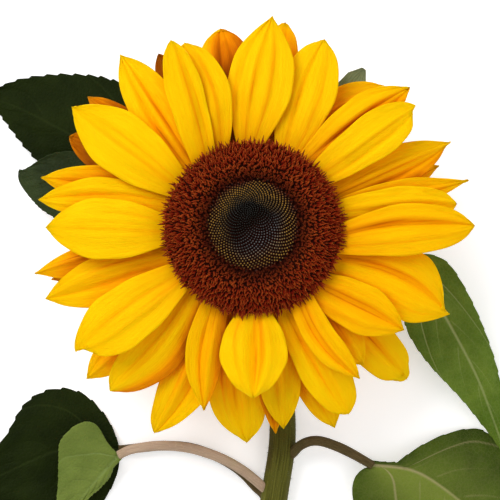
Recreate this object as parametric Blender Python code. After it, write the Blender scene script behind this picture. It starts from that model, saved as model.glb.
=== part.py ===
"""Cut sunflower, lying face up with its bent stem and its leaves on a surface.

Lengths are millimetres from the head's centre line, and z = 0 is the surface that the
flower lies on. MM turns them into metres as each solid is made. The last section moves
the whole flower so that its origin is under the middle of its box.
"""
import math

import bmesh
import bpy
from mathutils import Vector

MM = 0.001
GAP = 0.35                       # clearance kept between neighbouring solids

# Flower head: a turned receptacle carries the petals, the bracts and the disc.
NECK_HEIGHT = 26.0               # underside of the receptacle, where the stem ends
RECEPTACLE_RADIUS = 26.8
RECEPTACLE_TOP = 48.0
DISC_CENTRE_RADIUS = 15.9        # florets still in bud
DISC_RING_INNER = 16.3           # open florets
DISC_RING_OUTER = 30.5
DISC_TOP = 54.5
TURNED_SEGMENTS = 32

# Petals sit in six levels, 0 at the back and 5 in front.
PETAL_FOOT_RADIUS = 27.3
PETAL_FOOT_HEIGHT = 39.5
PETAL_FOOT_HALF_WIDTH = 3.0
PETAL_TIP_HALF_WIDTH = 0.45
PETAL_THICKNESS = 0.8
TOP_LEVEL = 5
LEVEL_STEP = 1.45
SLOPE_BACK = math.radians(-10)
SLOPE_FRONT = math.radians(14)
DROOP = 0.0045                   # fall in mm for each square mm of distance from the foot
PETAL_ROWS = (0.0, 0.13, 0.29, 0.45, 0.61, 0.77, 0.91, 1.0)

# Bracts: two green rings of pointed scales behind the petals.
BRACT_COUNT = 13
BRACT_THICKNESS = 0.8

# Stem and leaf stalks
STEM_END_RADII = (3.6, 5.5)   # at the neck and at the cut
STALK_RADIUS = 1.75

# Leaf blades
BLADE_THICKNESS = 0.8
BLADE_ROWS = (0.0, 0.05, 0.12, 0.21, 0.32, 0.44, 0.57, 0.70, 0.83, 0.93, 1.0)
BLADE_COLUMNS = (-1.0, -0.5, 0.0, 0.5, 1.0)
BLADE_FOOT_HALF_WIDTH = 1.6
BLADE_TIP_HALF_WIDTH = 0.5

# One row for each petal: bearing of the foot, bearing of the tip, reach of the tip,
# width, level, where it is widest (0 foot to 1 tip), how it tapers (small is blunt),
# and how far it bows to its left.
PETALS = (
    (92.7, 84.7, 72.0, 22.4, 3, 0.52, 0.85, 0.0),
    (84.0, 81.0, 71.1, 15.0, 0, 0.58, 0.45, 0.0),
    (65.0, 69.0, 68.5, 19.7, 2, 0.58, 0.60, 0.0),
    (60.0, 45.7, 67.0, 18.0, 0, 0.55, 0.60, 2.0),
    (48.6, 41.5, 71.3, 15.0, 3, 0.60, 0.70, 1.5),
    (37.6, 36.2, 67.9, 15.7, 4, 0.66, 0.50, 0.0),
    (20.0, 22.9, 73.4, 15.0, 2, 0.55, 0.95, 0.0),
    (17.0, 18.0, 67.5, 12.0, 0, 0.55, 0.80, 0.0),
    (8.8, 12.0, 75.4, 12.0, 3, 0.45, 1.10, 0.0),
    (8.0, 6.2, 69.6, 15.0, 4, 0.58, 0.50, 0.0),
    (-10.8, 0.0, 75.1, 17.5, 5, 0.55, 0.55, 1.2),
    (-26.0, -24.0, 72.8, 23.5, 3, 0.66, 0.80, 4.0),
    (-45.0, -34.6, 62.3, 17.0, 4, 0.55, 0.75, 0.0),
    (-43.0, -44.8, 74.0, 16.5, 1, 0.66, 0.38, 0.0),
    (-50.0, -51.5, 60.5, 14.0, 2, 0.55, 0.60, 0.0),
    (-56.0, -55.1, 63.0, 10.5, 5, 0.55, 0.75, -2.5),
    (-67.0, -63.0, 72.0, 16.5, 3, 0.62, 0.42, 0.0),
    (-68.0, -67.9, 74.9, 15.0, 1, 0.60, 0.65, 0.0),
    (-75.0, -81.4, 70.2, 15.0, 2, 0.55, 0.70, 0.0),
    (-85.0, -83.7, 71.8, 9.0, 1, 0.55, 0.70, 0.0),
    (-89.0, -90.0, 58.1, 23.0, 5, 0.50, 0.60, 0.0),
    (-98.6, -91.6, 74.8, 19.5, 0, 0.66, 0.65, -3.2),
    (-117.0, -104.9, 65.1, 13.0, 3, 0.50, 0.85, -2.0),
    (-125.0, -115.5, 79.1, 17.5, 1, 0.55, 0.58, 4.5),
    (-133.0, -130.9, 74.9, 18.5, 2, 0.58, 0.60, 3.3),
    (-138.0, -137.5, 78.0, 14.0, 0, 0.60, 0.60, 0.0),
    (-146.0, -144.4, 72.6, 20.5, 4, 0.62, 0.52, 0.0),
    (-156.6, -160.7, 75.5, 17.0, 2, 0.55, 0.75, 0.0),
    (-163.0, -165.2, 72.0, 11.0, 0, 0.55, 0.80, 0.0),
    (-168.0, -167.8, 77.1, 12.5, 1, 0.50, 0.85, 0.0),
    (-176.8, -179.6, 70.4, 21.0, 4, 0.55, 0.70, 0.0),
    (165.0, 173.0, 73.8, 14.0, 3, 0.55, 0.75, -1.5),
    (156.0, 167.1, 74.6, 13.0, 2, 0.55, 0.80, 0.0),
    (150.0, 154.0, 70.6, 15.0, 0, 0.60, 0.50, 0.0),
    (152.0, 146.7, 73.7, 21.0, 4, 0.55, 0.75, 0.0),
    (143.0, 141.9, 72.2, 12.0, 1, 0.60, 0.70, 0.0),
    (135.4, 127.8, 74.0, 17.0, 3, 0.55, 0.75, 0.0),
    (120.0, 118.7, 67.9, 12.0, 0, 0.60, 0.55, 0.0),
    (127.0, 113.9, 68.6, 12.5, 5, 0.58, 0.50, 0.0),
    (117.0, 110.5, 66.3, 16.0, 4, 0.60, 0.45, -2.7),
    (102.0, 99.3, 68.8, 18.5, 1, 0.62, 0.42, 0.0),
)

# The stem's centre line, from the neck to the cut. Lying parts rest on the surface.
STEM_ROUTE = (
    (0.0, 0.0, 25.4), (0.0, 0.0, 19.0), (0.6, -4.0, 11.2), (1.9, -11.0, 6.1),
    (3.8, -20.0, 4.35), (6.7, -34.0, 4.4), (9.6, -56.0, 4.6), (10.4, -75.0, 4.75),
    (7.9, -93.0, 4.9), (4.5, -115.0, 5.05), (0.4, -160.0, 5.2), (-3.0, -210.0, 5.35),
    (-4.0, -262.0, 5.5),
)

# A stalk's centre line, from the stem to its blade.
STALK_ROUTES = {
    "stalk_upper_left": (
        (0.3, -34.0, 6.4), (-7.0, -28.5, 9.0), (-16.0, -10.0, 11.5),
        (-24.0, 5.0, 12.4), (-28.7, 12.9, 12.0),
    ),
    "stalk_left": (
        (2.2, -50.0, 6.5), (-6.0, -44.5, 9.5), (-20.0, -26.0, 13.2),
        (-29.0, -10.0, 14.5), (-33.6, -2.7, 14.0),
    ),
    "stalk_right": (
        (14.2, -42.0, 7.0), (20.5, -37.0, 11.0), (32.0, -21.0, 16.0),
        (41.0, -11.4, 18.2), (47.0, -8.8, 17.8), (50.0, -10.2, 17.1),
    ),
    "stalk_lower_right": (
        (16.8, -79.3, 6.3), (17.8, -76.6, 9.8), (20.3, -75.0, 12.4), (24.2, -75.0, 13.6),
        (29.5, -76.8, 13.2), (34.8, -79.5, 11.0), (40.7, -83.0, 8.2),
    ),
    "stalk_lower_left": (
        (1.8, -90.4, 6.8), (-3.1, -85.6, 9.8), (-8.4, -82.3, 11.6), (-14.7, -79.5, 13.0),
        (-23.1, -77.1, 13.8), (-32.5, -76.5, 13.0), (-41.9, -77.8, 10.6), (-46.0, -79.4, 9.2),
    ),
    "stalk_back_left": (
        (1.5, -92.0, 2.6), (-3.2, -87.0, 2.4), (-8.4, -83.2, 2.4), (-14.8, -80.1, 2.4),
        (-23.2, -77.6, 2.5), (-32.7, -77.1, 2.6), (-42.2, -78.1, 2.8), (-46.4, -78.4, 2.8),
    ),
}

# A blade's midrib, then for each side: width, where the side leaves the midrib, where it
# is widest, how it tapers, how it slopes away from the midrib, and how far its lobe goes
# back towards the stalk. Left and right are as seen from the stalk.
BLADES = {
    "leaf_upper_left": {
        "midrib": ((-29.1, 13.6, 12.0), (-47.0, 24.0, 9.0), (-66.0, 33.5, 5.5),
                   (-84.0, 42.5, 2.4), (-97.5, 46.5, 0.6)),
        "left": (17.0, -0.05, 0.32, 1.5, -0.12, 4.0),
        "right": (24.0, -0.05, 0.36, 1.45, -0.12, 4.0),
    },
    "leaf_left": {
        "midrib": ((-35.0, -1.4, 14.0), (-52.0, 8.0, 14.6), (-69.5, 16.8, 12.8),
                   (-81.8, 19.6, 10.5)),
        "left": (12.5, -0.02, 0.50, 0.48, -0.08, 0.0),
        "right": (13.5, -0.02, 0.46, 1.5, 0.0, 0.0),
    },
    "leaf_right": {
        "midrib": ((50.9, -11.2, 16.8), (60.5, -21.0, 15.5), (70.5, -37.5, 12.5),
                   (79.0, -54.0, 10.0), (85.8, -72.0, 8.0), (91.0, -86.0, 6.5)),
        "left": (11.2, -0.10, 0.20, 1.15, -0.12, 0.0),
        "right": (14.2, -0.05, 0.33, 2.0, 0.06, 0.0),
    },
    "leaf_lower_right": {
        "midrib": ((41.3, -83.5, 7.9), (55.4, -85.4, 6.8), (66.0, -91.2, 5.6),
                   (78.0, -101.0, 4.4), (92.0, -114.0, 2.6), (108.0, -128.0, 0.6)),
        "left": (25.0, 0.13, 0.45, 0.9, -0.15, 4.0),
        "right": (26.0, -0.03, 0.32, 1.2, -0.18, 15.0),
    },
    "leaf_lower_left": {
        "midrib": ((-46.8, -79.9, 9.0), (-54.1, -88.0, 8.6), (-60.8, -96.0, 7.6),
                   (-74.0, -115.0, 5.2)),
        "left": (3.0, 0.0, 0.3, 1.5, -0.2, 0.0),
        "right": (18.5, -0.14, 0.24, 1.5, 0.18, 2.5),
    },
    "leaf_back_left": {
        "midrib": ((-46.9, -78.5, 2.8), (-58.0, -77.8, 2.4), (-69.0, -78.8, 2.2),
                   (-80.0, -83.3, 2.0), (-98.0, -92.0, 1.2), (-116.0, -101.0, 0.6)),
        "left": (23.0, -0.08, 0.28, 1.6, -0.05, 5.0),
        "right": (21.5, -0.04, 0.36, 2.6, -0.05, 4.0),
    },
}

PETAL_YELLOW = (0.97, 0.55, 0.01, 1.0)
LEAF_GREEN = (0.06, 0.14, 0.02, 1.0)
STEM_GREEN = (0.17, 0.22, 0.05, 1.0)
BRACT_GREEN = (0.12, 0.20, 0.06, 1.0)
DISC_BROWN = (0.10, 0.02, 0.01, 1.0)
DISC_DARK = (0.02, 0.02, 0.01, 1.0)


def material(name, colour, roughness):
    """Plain plant material: one colour and one roughness, never metallic."""
    made = bpy.data.materials.new(name)
    made.use_nodes = True
    shader = made.node_tree.nodes["Principled BSDF"]
    shader.inputs["Base Color"].default_value = colour
    shader.inputs["Roughness"].default_value = roughness
    shader.inputs["Metallic"].default_value = 0.0
    return made


def add_object(name, data, parent, finish):
    """Put a mesh or a curve in the scene under the flower's empty."""
    data.materials.append(finish)
    placed = bpy.data.objects.new(name, data)
    bpy.context.collection.objects.link(placed)
    placed.parent = parent
    return placed


def add_mesh(name, bm, parent, finish):
    """Finish a bmesh as a smooth-shaded object."""
    bmesh.ops.recalc_face_normals(bm, faces=bm.faces)
    mesh = bpy.data.meshes.new(name)
    bm.to_mesh(mesh)
    bm.free()
    mesh.shade_smooth()
    return add_object(name, mesh, parent, finish)


def thicken(sheet, thickness):
    """Give an open sheet its thickness, half to each side."""
    wall = sheet.modifiers.new("wall", "SOLIDIFY")
    wall.thickness = thickness * MM
    wall.offset = 0.0


def smooth_point(route, t):
    """Point at t (0 to 1) on the smooth curve through all points of a route."""
    spans = len(route) - 1
    index = min(int(t * spans), spans - 1)
    u = t * spans - index
    b, c = Vector(route[index]), Vector(route[index + 1])
    a = Vector(route[index - 1]) if index > 0 else 2 * b - c
    d = Vector(route[index + 2]) if index + 2 <= spans else 2 * c - b
    return 0.5 * (2 * b + (c - a) * u + (2 * a - 5 * b + 4 * c - d) * u * u
                  + (3 * b - a - 3 * c + d) * u * u * u)


def polar(radius, bearing, height):
    """Point from its distance to the head's centre line, its bearing and its height."""
    return Vector((radius * math.cos(bearing), radius * math.sin(bearing), height))


def grid_sheet(name, rows, parent, finish, thickness):
    """Solid sheet through rows of points."""
    bm = bmesh.new()
    verts = [[bm.verts.new(point * MM) for point in row] for row in rows]
    for near, far in zip(verts, verts[1:]):
        for i in range(len(near) - 1):
            bm.faces.new((near[i], near[i + 1], far[i + 1], far[i]))
    thicken(add_mesh(name, bm, parent, finish), thickness)


def turned(name, profile, parent, finish, is_ring=False):
    """Solid turned about the head's centre line; a radius of 0 is a pole."""
    bm = bmesh.new()
    rings = []
    for radius, height in profile:
        if radius == 0:
            rings.append([bm.verts.new(Vector((0, 0, height)) * MM)] * TURNED_SEGMENTS)
        else:
            turn = 2 * math.pi / TURNED_SEGMENTS
            rings.append([bm.verts.new(polar(radius, i * turn, height) * MM)
                          for i in range(TURNED_SEGMENTS)])
    following = rings[1:] + rings[:1] if is_ring else rings[1:]
    for upper, lower in zip(rings, following):
        for i in range(TURNED_SEGMENTS):
            j = (i + 1) % TURNED_SEGMENTS
            corners = dict.fromkeys((upper[i], upper[j], lower[j], lower[i]))
            bm.faces.new(tuple(corners))
    add_mesh(name, bm, parent, finish)


def receptacle(parent, finish):
    """The fleshy base of the head, from the neck up to the disc."""
    turned("receptacle", (
        (0, RECEPTACLE_TOP), (22.0, RECEPTACLE_TOP), (RECEPTACLE_RADIUS, 47.6),
        (RECEPTACLE_RADIUS, 38.6), (25.2, 35.6), (22.0, 32.0), (17.0, 28.8), (11.0, 26.8),
        (6.0, NECK_HEIGHT), (0, NECK_HEIGHT)), parent, finish)


def disc(parent, ring_finish, centre_finish):
    """Open florets in a raised ring, and budding florets in the dished middle."""
    floor = RECEPTACLE_TOP + GAP
    turned("disc_ring", (
        (DISC_RING_INNER, floor), (DISC_RING_INNER, 51.2), (17.2, 52.8), (19.2, 54.0),
        (22.0, DISC_TOP), (25.5, 53.8), (28.3, 52.0), (29.8, 50.2),
        (DISC_RING_OUTER, 48.9), (30.2, floor)), parent, ring_finish, is_ring=True)
    turned("disc_centre", (
        (0, 50.0), (5.0, 50.2), (10.0, 50.9), (13.6, 51.4), (15.2, 51.2),
        (DISC_CENTRE_RADIUS, 50.4), (DISC_CENTRE_RADIUS, floor), (0, floor)),
        parent, centre_finish)


def petal_height(level, radius):
    """Height of a petal level's middle surface at a distance from the centre line."""
    out = radius - PETAL_FOOT_RADIUS
    slope = math.tan(SLOPE_BACK + (SLOPE_FRONT - SLOPE_BACK) * level / TOP_LEVEL)
    return PETAL_FOOT_HEIGHT + LEVEL_STEP * level + slope * out - DROOP * out * out


def petal_half_width(t, width, widest, taper):
    """Half a petal's width: a sine rise from the foot, then a cosine fall to the tip."""
    half = width / 2
    if t < widest:
        rise = math.sin(math.pi / 2 * t / widest)
        return PETAL_FOOT_HALF_WIDTH + (half - PETAL_FOOT_HALF_WIDTH) * rise
    fall = max(math.cos(math.pi / 2 * (t - widest) / (1 - widest)), 0.0) ** taper
    return max(half * fall, PETAL_TIP_HALF_WIDTH)


def petal(number, row, parent, finish):
    """One ray floret: a thin tongue that keeps to its level's surface."""
    foot_bearing, tip_bearing, reach, width, level, widest, taper, bow = row
    foot = polar(PETAL_FOOT_RADIUS, math.radians(foot_bearing), 0)
    tip = polar(reach, math.radians(tip_bearing), 0)
    across = Vector((foot.y - tip.y, tip.x - foot.x, 0)).normalized()
    rows = []
    for t in PETAL_ROWS:
        middle = foot.lerp(tip, t) + across * bow * math.sin(math.pi * t)
        half = petal_half_width(t, width, widest, taper)
        points = [middle + across * half * side for side in (-1, 0, 1)]
        points = [p * max(1.0, PETAL_FOOT_RADIUS / p.length) for p in points]
        rows.append([Vector((p.x, p.y, petal_height(level, p.length))) for p in points])
    grid_sheet(f"petal_{number:02d}", rows, parent, finish, PETAL_THICKNESS)


def bract_ring(name, root, collar, shoulder, tip, long_bract, turn, parent, finish):
    """Cup of pointed bracts. Each stage is (radius, height); one bract may be longer."""
    bm = bmesh.new()
    half = math.pi / BRACT_COUNT

    def vert(stage, bearing):
        return bm.verts.new(polar(stage[0], bearing, stage[1]) * MM)

    bearings = [turn + 2 * half * i for i in range(BRACT_COUNT)]
    root_ring = [vert(root, b + k * half) for b in bearings for k in (-1, 0)]
    collar_ring = [vert(collar, b + k * half) for b in bearings for k in (-1, 0)]
    around = len(root_ring)
    for i in range(around):
        j = (i + 1) % around
        bm.faces.new((root_ring[i], root_ring[j], collar_ring[j], collar_ring[i]))
    for i, bearing in enumerate(bearings):
        reach = 1 + 0.05 * math.sin(2.4 * i)
        end = long_bract if long_bract and i == 0 else (tip[0] * reach, tip[1])
        left = vert(shoulder, bearing - 0.62 * half)
        middle = vert((shoulder[0] + 1.5, shoulder[1] - 0.3), bearing)
        right = vert(shoulder, bearing + 0.62 * half)
        point = vert(end, bearing)
        low, mid, high = (collar_ring[(2 * i + k) % around] for k in range(3))
        bm.faces.new((low, mid, middle, left))
        bm.faces.new((mid, high, right, middle))
        bm.faces.new((left, middle, point))
        bm.faces.new((middle, right, point))
    thicken(add_mesh(name, bm, parent, finish), BRACT_THICKNESS)


def bracts(parent, finish):
    """Inner and outer bract rings; one outer bract is long and shows past the petals."""
    bract_ring("bracts_inner", (26.4, 37.0), (33.0, 35.4), (39.0, 33.6), (46.0, 31.2),
               None, math.radians(70), parent, finish)
    bract_ring("bracts_outer", (23.4, 32.6), (30.5, 30.6), (39.0, 27.0), (52.0, 22.5),
               (67.0, 20.6), math.radians(54.8), parent, finish)


def tube(name, route, radii, samples, sides, parent, finish):
    """Round stalk along a smooth route, with flat ends."""
    curve = bpy.data.curves.new(name, "CURVE")
    curve.dimensions = "3D"
    curve.bevel_depth = MM
    curve.bevel_resolution = (sides - 4) // 2
    curve.render_resolution_u = 0
    curve.use_fill_caps = True
    spline = curve.splines.new("POLY")
    spline.points.add(samples - 1)
    for i, point in enumerate(spline.points):
        t = i / (samples - 1)
        point.co = (*(smooth_point(route, t) * MM), 1.0)
        point.radius = radii[0] + (radii[1] - radii[0]) * t
    add_object(name, curve, parent, finish)


def blade_side(t, side):
    """Half width and backward sweep of one side of a blade at t."""
    width, start, widest, taper, _, lobe = side
    if t < widest:
        x = max((t - start) / (widest - start), 0.0)
        half = width * x * x * (3 - 2 * x)
        back = lobe * 4 * (t / widest) * (1 - t / widest)
    else:
        half = width * max(math.cos(math.pi / 2 * (t - widest) / (1 - widest)), 0.0) ** taper
        back = 0.0
    least = BLADE_FOOT_HALF_WIDTH + (BLADE_TIP_HALF_WIDTH - BLADE_FOOT_HALF_WIDTH) * t
    return max(half, least), back


def blade(name, leaf, parent, finish):
    """Leaf blade: a sheet on both sides of its midrib that never sinks into the surface."""
    step = 0.01
    rows = []
    for t in BLADE_ROWS:
        middle = smooth_point(leaf["midrib"], t)
        ahead = smooth_point(leaf["midrib"], min(t + step, 1.0))
        behind = smooth_point(leaf["midrib"], max(t - step, 0.0))
        along = Vector((ahead.x - behind.x, ahead.y - behind.y, 0)).normalized()
        leftward = Vector((-along.y, along.x, 0))
        row = []
        for s in BLADE_COLUMNS:
            side = leaf["left"] if s > 0 else leaf["right"]
            half, back = blade_side(t, side)
            point = middle + leftward * half * s - along * back * abs(s) ** 1.5
            point.z = max(middle.z + side[4] * half * abs(s), BLADE_THICKNESS / 2)
            row.append(point)
        rows.append(row)
    grid_sheet(name, rows, parent, finish, BLADE_THICKNESS)


def centre_on_box(parent):
    """Move the flower so that its origin is the middle of its box, at the bottom."""
    bpy.context.view_layer.update()
    graph = bpy.context.evaluated_depsgraph_get()
    corners = []
    for child in parent.children:
        evaluated = child.evaluated_get(graph)
        corners += [vert.co.copy() for vert in evaluated.to_mesh().vertices]
        evaluated.to_mesh_clear()
    low = Vector([min(c[i] for c in corners) for i in range(3)])
    high = Vector([max(c[i] for c in corners) for i in range(3)])
    parent.location = (-(low.x + high.x) / 2, -(low.y + high.y) / 2, -low.z)


def build_sunflower():
    for old in list(bpy.data.objects):
        bpy.data.objects.remove(old)
    flower = bpy.data.objects.new("sunflower", None)
    bpy.context.collection.objects.link(flower)
    yellow = material("petal yellow", PETAL_YELLOW, 0.55)
    leaf_green = material("leaf green", LEAF_GREEN, 0.6)
    stem_green = material("stem green", STEM_GREEN, 0.6)
    bract_green = material("bract green", BRACT_GREEN, 0.7)

    receptacle(flower, bract_green)
    disc(flower, material("open florets", DISC_BROWN, 0.8),
         material("budding florets", DISC_DARK, 0.7))
    for number, row in enumerate(PETALS, start=1):
        petal(number, row, flower, yellow)
    bracts(flower, bract_green)
    tube("stem", STEM_ROUTE, STEM_END_RADII, 36, 12, flower, stem_green)
    for name, route in STALK_ROUTES.items():
        tube(name, route, (STALK_RADIUS, STALK_RADIUS), 14, 8, flower, stem_green)
    for name, leaf in BLADES.items():
        blade(name, leaf, flower, leaf_green)
    centre_on_box(flower)


build_sunflower()
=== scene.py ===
"""Cut sunflower lying face up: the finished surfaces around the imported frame."""
import math

import bmesh
import bpy
import numpy as np
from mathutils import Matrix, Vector
from mathutils.bvhtree import BVHTree


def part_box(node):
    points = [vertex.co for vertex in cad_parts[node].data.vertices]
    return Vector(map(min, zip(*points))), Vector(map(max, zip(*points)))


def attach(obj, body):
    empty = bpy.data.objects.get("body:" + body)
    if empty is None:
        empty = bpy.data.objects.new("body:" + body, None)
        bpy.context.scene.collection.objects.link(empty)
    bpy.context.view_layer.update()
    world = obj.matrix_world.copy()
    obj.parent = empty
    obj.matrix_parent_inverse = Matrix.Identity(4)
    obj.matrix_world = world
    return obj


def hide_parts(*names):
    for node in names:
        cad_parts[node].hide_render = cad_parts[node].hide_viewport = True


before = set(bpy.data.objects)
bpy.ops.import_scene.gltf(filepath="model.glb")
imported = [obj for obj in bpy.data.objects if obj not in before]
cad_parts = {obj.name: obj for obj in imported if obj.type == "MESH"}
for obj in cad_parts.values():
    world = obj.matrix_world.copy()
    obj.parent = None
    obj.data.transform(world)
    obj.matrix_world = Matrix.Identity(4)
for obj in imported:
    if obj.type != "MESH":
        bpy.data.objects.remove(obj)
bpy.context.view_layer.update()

MM = 0.001

# --- Stem ---------------------------------------------------------------------------
# The stalk that carries the head: a green, ribbed and bristly rod that hooks over under
# the head and then lies along the surface. It was cut straight across, which shows its
# pale pith.

disc_low, disc_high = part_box("disc_centre")
HEAD = np.array([(disc_low[0] + disc_high[0]) / 2, (disc_low[1] + disc_high[1]) / 2, 0.0])


def node(tree, kind, values=None, **settings):
    """Add a node; a value that is a socket is linked, any other value is set."""
    made = tree.nodes.new(kind)
    for name, value in settings.items():
        setattr(made, name, value)
    for key, value in (values or {}).items():
        if isinstance(value, bpy.types.NodeSocket):
            tree.links.new(value, made.inputs[key])
        else:
            made.inputs[key].default_value = value
    return made


def finish(name, roughness=0.6, shine=0.15):
    """New material; returns it with its node tree and its shader."""
    material = bpy.data.materials.new(name)
    material.use_nodes = True
    tree = material.node_tree
    shader = tree.nodes["Principled BSDF"]
    shader.inputs["Roughness"].default_value = roughness
    shader.inputs["Specular IOR Level"].default_value = shine
    return material, tree, shader


def let_light_in(shader, weight, reach, depth):
    """Light soaks into thin tissue: its share, each colour's reach, and the depth in metres."""
    shader.inputs["Subsurface Weight"].default_value = weight
    shader.inputs["Subsurface Radius"].default_value = reach
    shader.inputs["Subsurface Scale"].default_value = depth


def paint(tree, shader, colour):
    """Give a shader its colour from a socket."""
    tree.links.new(colour, shader.inputs["Base Color"])


def blend_colours(tree, factor, low, high):
    """Colour between two, each a colour or a socket."""
    mix = node(tree, "ShaderNodeMix", data_type="RGBA", blend_type="MIX", clamp_factor=True)
    for index, value in ((0, factor), (6, low), (7, high)):
        if isinstance(value, bpy.types.NodeSocket):
            tree.links.new(value, mix.inputs[index])
        else:
            mix.inputs[index].default_value = value if index == 0 else (*value, 1.0)
    return mix.outputs[2]


def math_of(tree, operation, *values):
    """One math node over sockets and numbers."""
    return node(tree, "ShaderNodeMath", dict(enumerate(values)), operation=operation).outputs[0]


def vector_of(tree, operation, *values):
    """One vector math node over sockets and vectors."""
    return node(tree, "ShaderNodeVectorMath", dict(enumerate(values)), operation=operation)


def remap(tree, value, low, high, to_low=0.0, to_high=1.0):
    """Value carried from one range to another, held at its ends."""
    made = node(tree, "ShaderNodeMapRange", {
        "Value": value, "From Min": low, "From Max": high,
        "To Min": to_low, "To Max": to_high})
    return made.outputs["Result"]


def noise_on(tree, vector, scale, detail=3.0, roughness=0.55, stretch=(1, 1, 1)):
    """Noise over a coordinate, stretched along its axes."""
    mapped = node(tree, "ShaderNodeMapping", {"Vector": vector, "Scale": stretch})
    made = node(tree, "ShaderNodeTexNoise", {
        "Vector": mapped.outputs["Vector"], "Scale": scale, "Detail": detail,
        "Roughness": roughness})
    return made.outputs["Fac"]


def raise_bumps(tree, shader, height, distance):
    """Surface relief in metres on a shader."""
    bump = node(tree, "ShaderNodeBump", {
        "Height": height, "Distance": distance, "Strength": 1.0})
    tree.links.new(bump.outputs["Normal"], shader.inputs["Normal"])


def coordinates(tree, kind="Object"):
    """Coordinate socket of the piece: Object or UV."""
    return node(tree, "ShaderNodeTexCoord").outputs[kind]


def mark_of(tree, name):
    """Value that a mesh carries at its points under a name."""
    return node(tree, "ShaderNodeAttribute", attribute_name=name).outputs["Fac"]


def mark_mesh(mesh, name, values):
    """Store a value at each point of a mesh under a name."""
    attribute = mesh.attributes.new(name, "FLOAT", "POINT")
    attribute.data.foreach_set("value", values.astype(np.float32).ravel())


def place(name, mesh, material, slot, *nodes):
    """Put a finished mesh in the scene, riding on the flower and standing for CAD nodes."""
    piece = bpy.data.objects.new(name, mesh)
    bpy.context.collection.objects.link(piece)
    mesh.materials.clear()
    mesh.materials.append(material)
    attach(piece, "root")
    if nodes:
        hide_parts(*nodes)
    return piece


def grid_mesh(name, points, wrap=False, ends=(False, False)):
    """Smooth mesh through rows of points, in mm from the head's centre line."""
    points = np.asarray(points, dtype=float)
    rows, columns = points.shape[:2]
    faces, corners = [], []
    across, along = columns - 1 + wrap, rows - 1
    for r in range(along):
        for c in range(across):
            d = (c + 1) % columns
            faces.append((r * columns + c, r * columns + d,
                          (r + 1) * columns + d, (r + 1) * columns + c))
            left, right = c / across, (c + 1) / across
            low, high = r / along, (r + 1) / along
            corners += [(left, low), (right, low), (right, high), (left, high)]
    if ends[0]:
        faces.append(tuple(reversed(range(columns))))
        corners += [(0.5, 0.0)] * columns
    if ends[1]:
        faces.append(tuple(range(along * columns, rows * columns)))
        corners += [(0.5, 1.0)] * columns
    mesh = bpy.data.meshes.new(name)
    mesh.from_pydata((points.reshape(-1, 3) * MM + HEAD).tolist(), [], faces)
    layer = mesh.uv_layers.new(name="UVMap")
    layer.data.foreach_set("uv", np.array(corners, dtype=np.float32).ravel())
    mesh.shade_smooth()
    return mesh


def smooth_route(route, count):
    """Points along the smooth curve through all points of a route."""
    route = np.asarray(route, dtype=float)
    padded = np.vstack([2 * route[0] - route[1], route, 2 * route[-1] - route[-2]])
    spans = len(route) - 1
    points = []
    for t in np.linspace(0, spans, count):
        i = min(int(t), spans - 1)
        u = t - i
        a, b, c, d = padded[i:i + 4]
        points.append(0.5 * (2 * b + (c - a) * u + (2 * a - 5 * b + 4 * c - d) * u * u
                             + (3 * b - a - 3 * c + d) * u ** 3))
    return np.array(points)


def tube_points(path, radii, sides, profile):
    """Rings round a path. profile(angle, t) scales the radius; angle 0 faces up."""
    ahead = np.gradient(path, axis=0)
    ahead /= np.linalg.norm(ahead, axis=1)[:, None]
    right = np.cross(ahead[0], (0.0, 0.0, 1.0) if abs(ahead[0][2]) < 0.9 else (0.0, 1.0, 0.0))
    rings = []
    for i, (point, forward) in enumerate(zip(path, ahead)):
        right = right - forward * np.dot(right, forward)
        right /= np.linalg.norm(right)
        up = np.cross(right, forward)
        t = i / (len(path) - 1)
        angles = np.arange(sides) * 2 * math.pi / sides
        reach = radii[i] * np.array([profile(a, t) for a in angles])
        rings.append(point + np.outer(np.sin(angles) * reach, right)
                     + np.outer(np.cos(angles) * reach, up))
    return np.array(rings)


STEM_ROUTE = (
    (0.0, 0.0, 26.2), (0.0, 0.0, 19.0), (0.6, -4.0, 11.2), (1.9, -11.0, 6.1),
    (3.8, -20.0, 4.35), (6.7, -34.0, 4.4), (9.6, -56.0, 4.6), (10.4, -75.0, 4.75),
    (7.9, -93.0, 4.9), (4.5, -115.0, 5.05), (0.4, -160.0, 5.2), (-3.0, -210.0, 5.35),
    (-4.0, -262.0, 5.5),
)
STEM_RADII = (3.6, 5.45)
STEM_RIBS = 13
STEM_ROWS = 260
STEM_SIDES = 52


def stem_section(angle, t):
    """Rounded ribs, and a slow unevenness along the length."""
    rib = 0.028 * abs(math.sin(STEM_RIBS / 2 * angle + 0.8 * math.sin(9 * t)))
    sway = 0.012 * math.sin(3 * angle + 21 * t) + 0.010 * math.sin(2 * angle - 34 * t)
    return 0.965 + rib + sway


def stem_finish(name, body, shade, blush):
    """Ribbed green skin with pale streaks, fine bristle pits and a blush of purple."""
    material, tree, shader = finish(name, roughness=0.62, shine=0.06)
    uv = coordinates(tree, "UV")
    place_in = coordinates(tree)
    streaks = noise_on(tree, uv, 9.0, 4.0, 0.6, (7.0, 1.2, 1.0))
    clouds = noise_on(tree, place_in, 55.0, 3.0)
    pits = noise_on(tree, place_in, 1500.0, 2.0)
    colour = blend_colours(tree, remap(tree, streaks, 0.35, 0.68), shade, body)
    colour = blend_colours(tree, remap(tree, clouds, 0.5, 0.72, 0.0, 0.75), colour, blush)
    pale = tuple(min(1.0, 1.7 * channel + 0.02) for channel in body)
    colour = blend_colours(tree, remap(tree, pits, 0.6, 0.75, 0.0, 0.22), colour, pale)
    paint(tree, shader, colour)
    relief = math_of(tree, "ADD", math_of(tree, "MULTIPLY", streaks, 0.7), pits)
    raise_bumps(tree, shader, relief, 0.00025)
    return material


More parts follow.
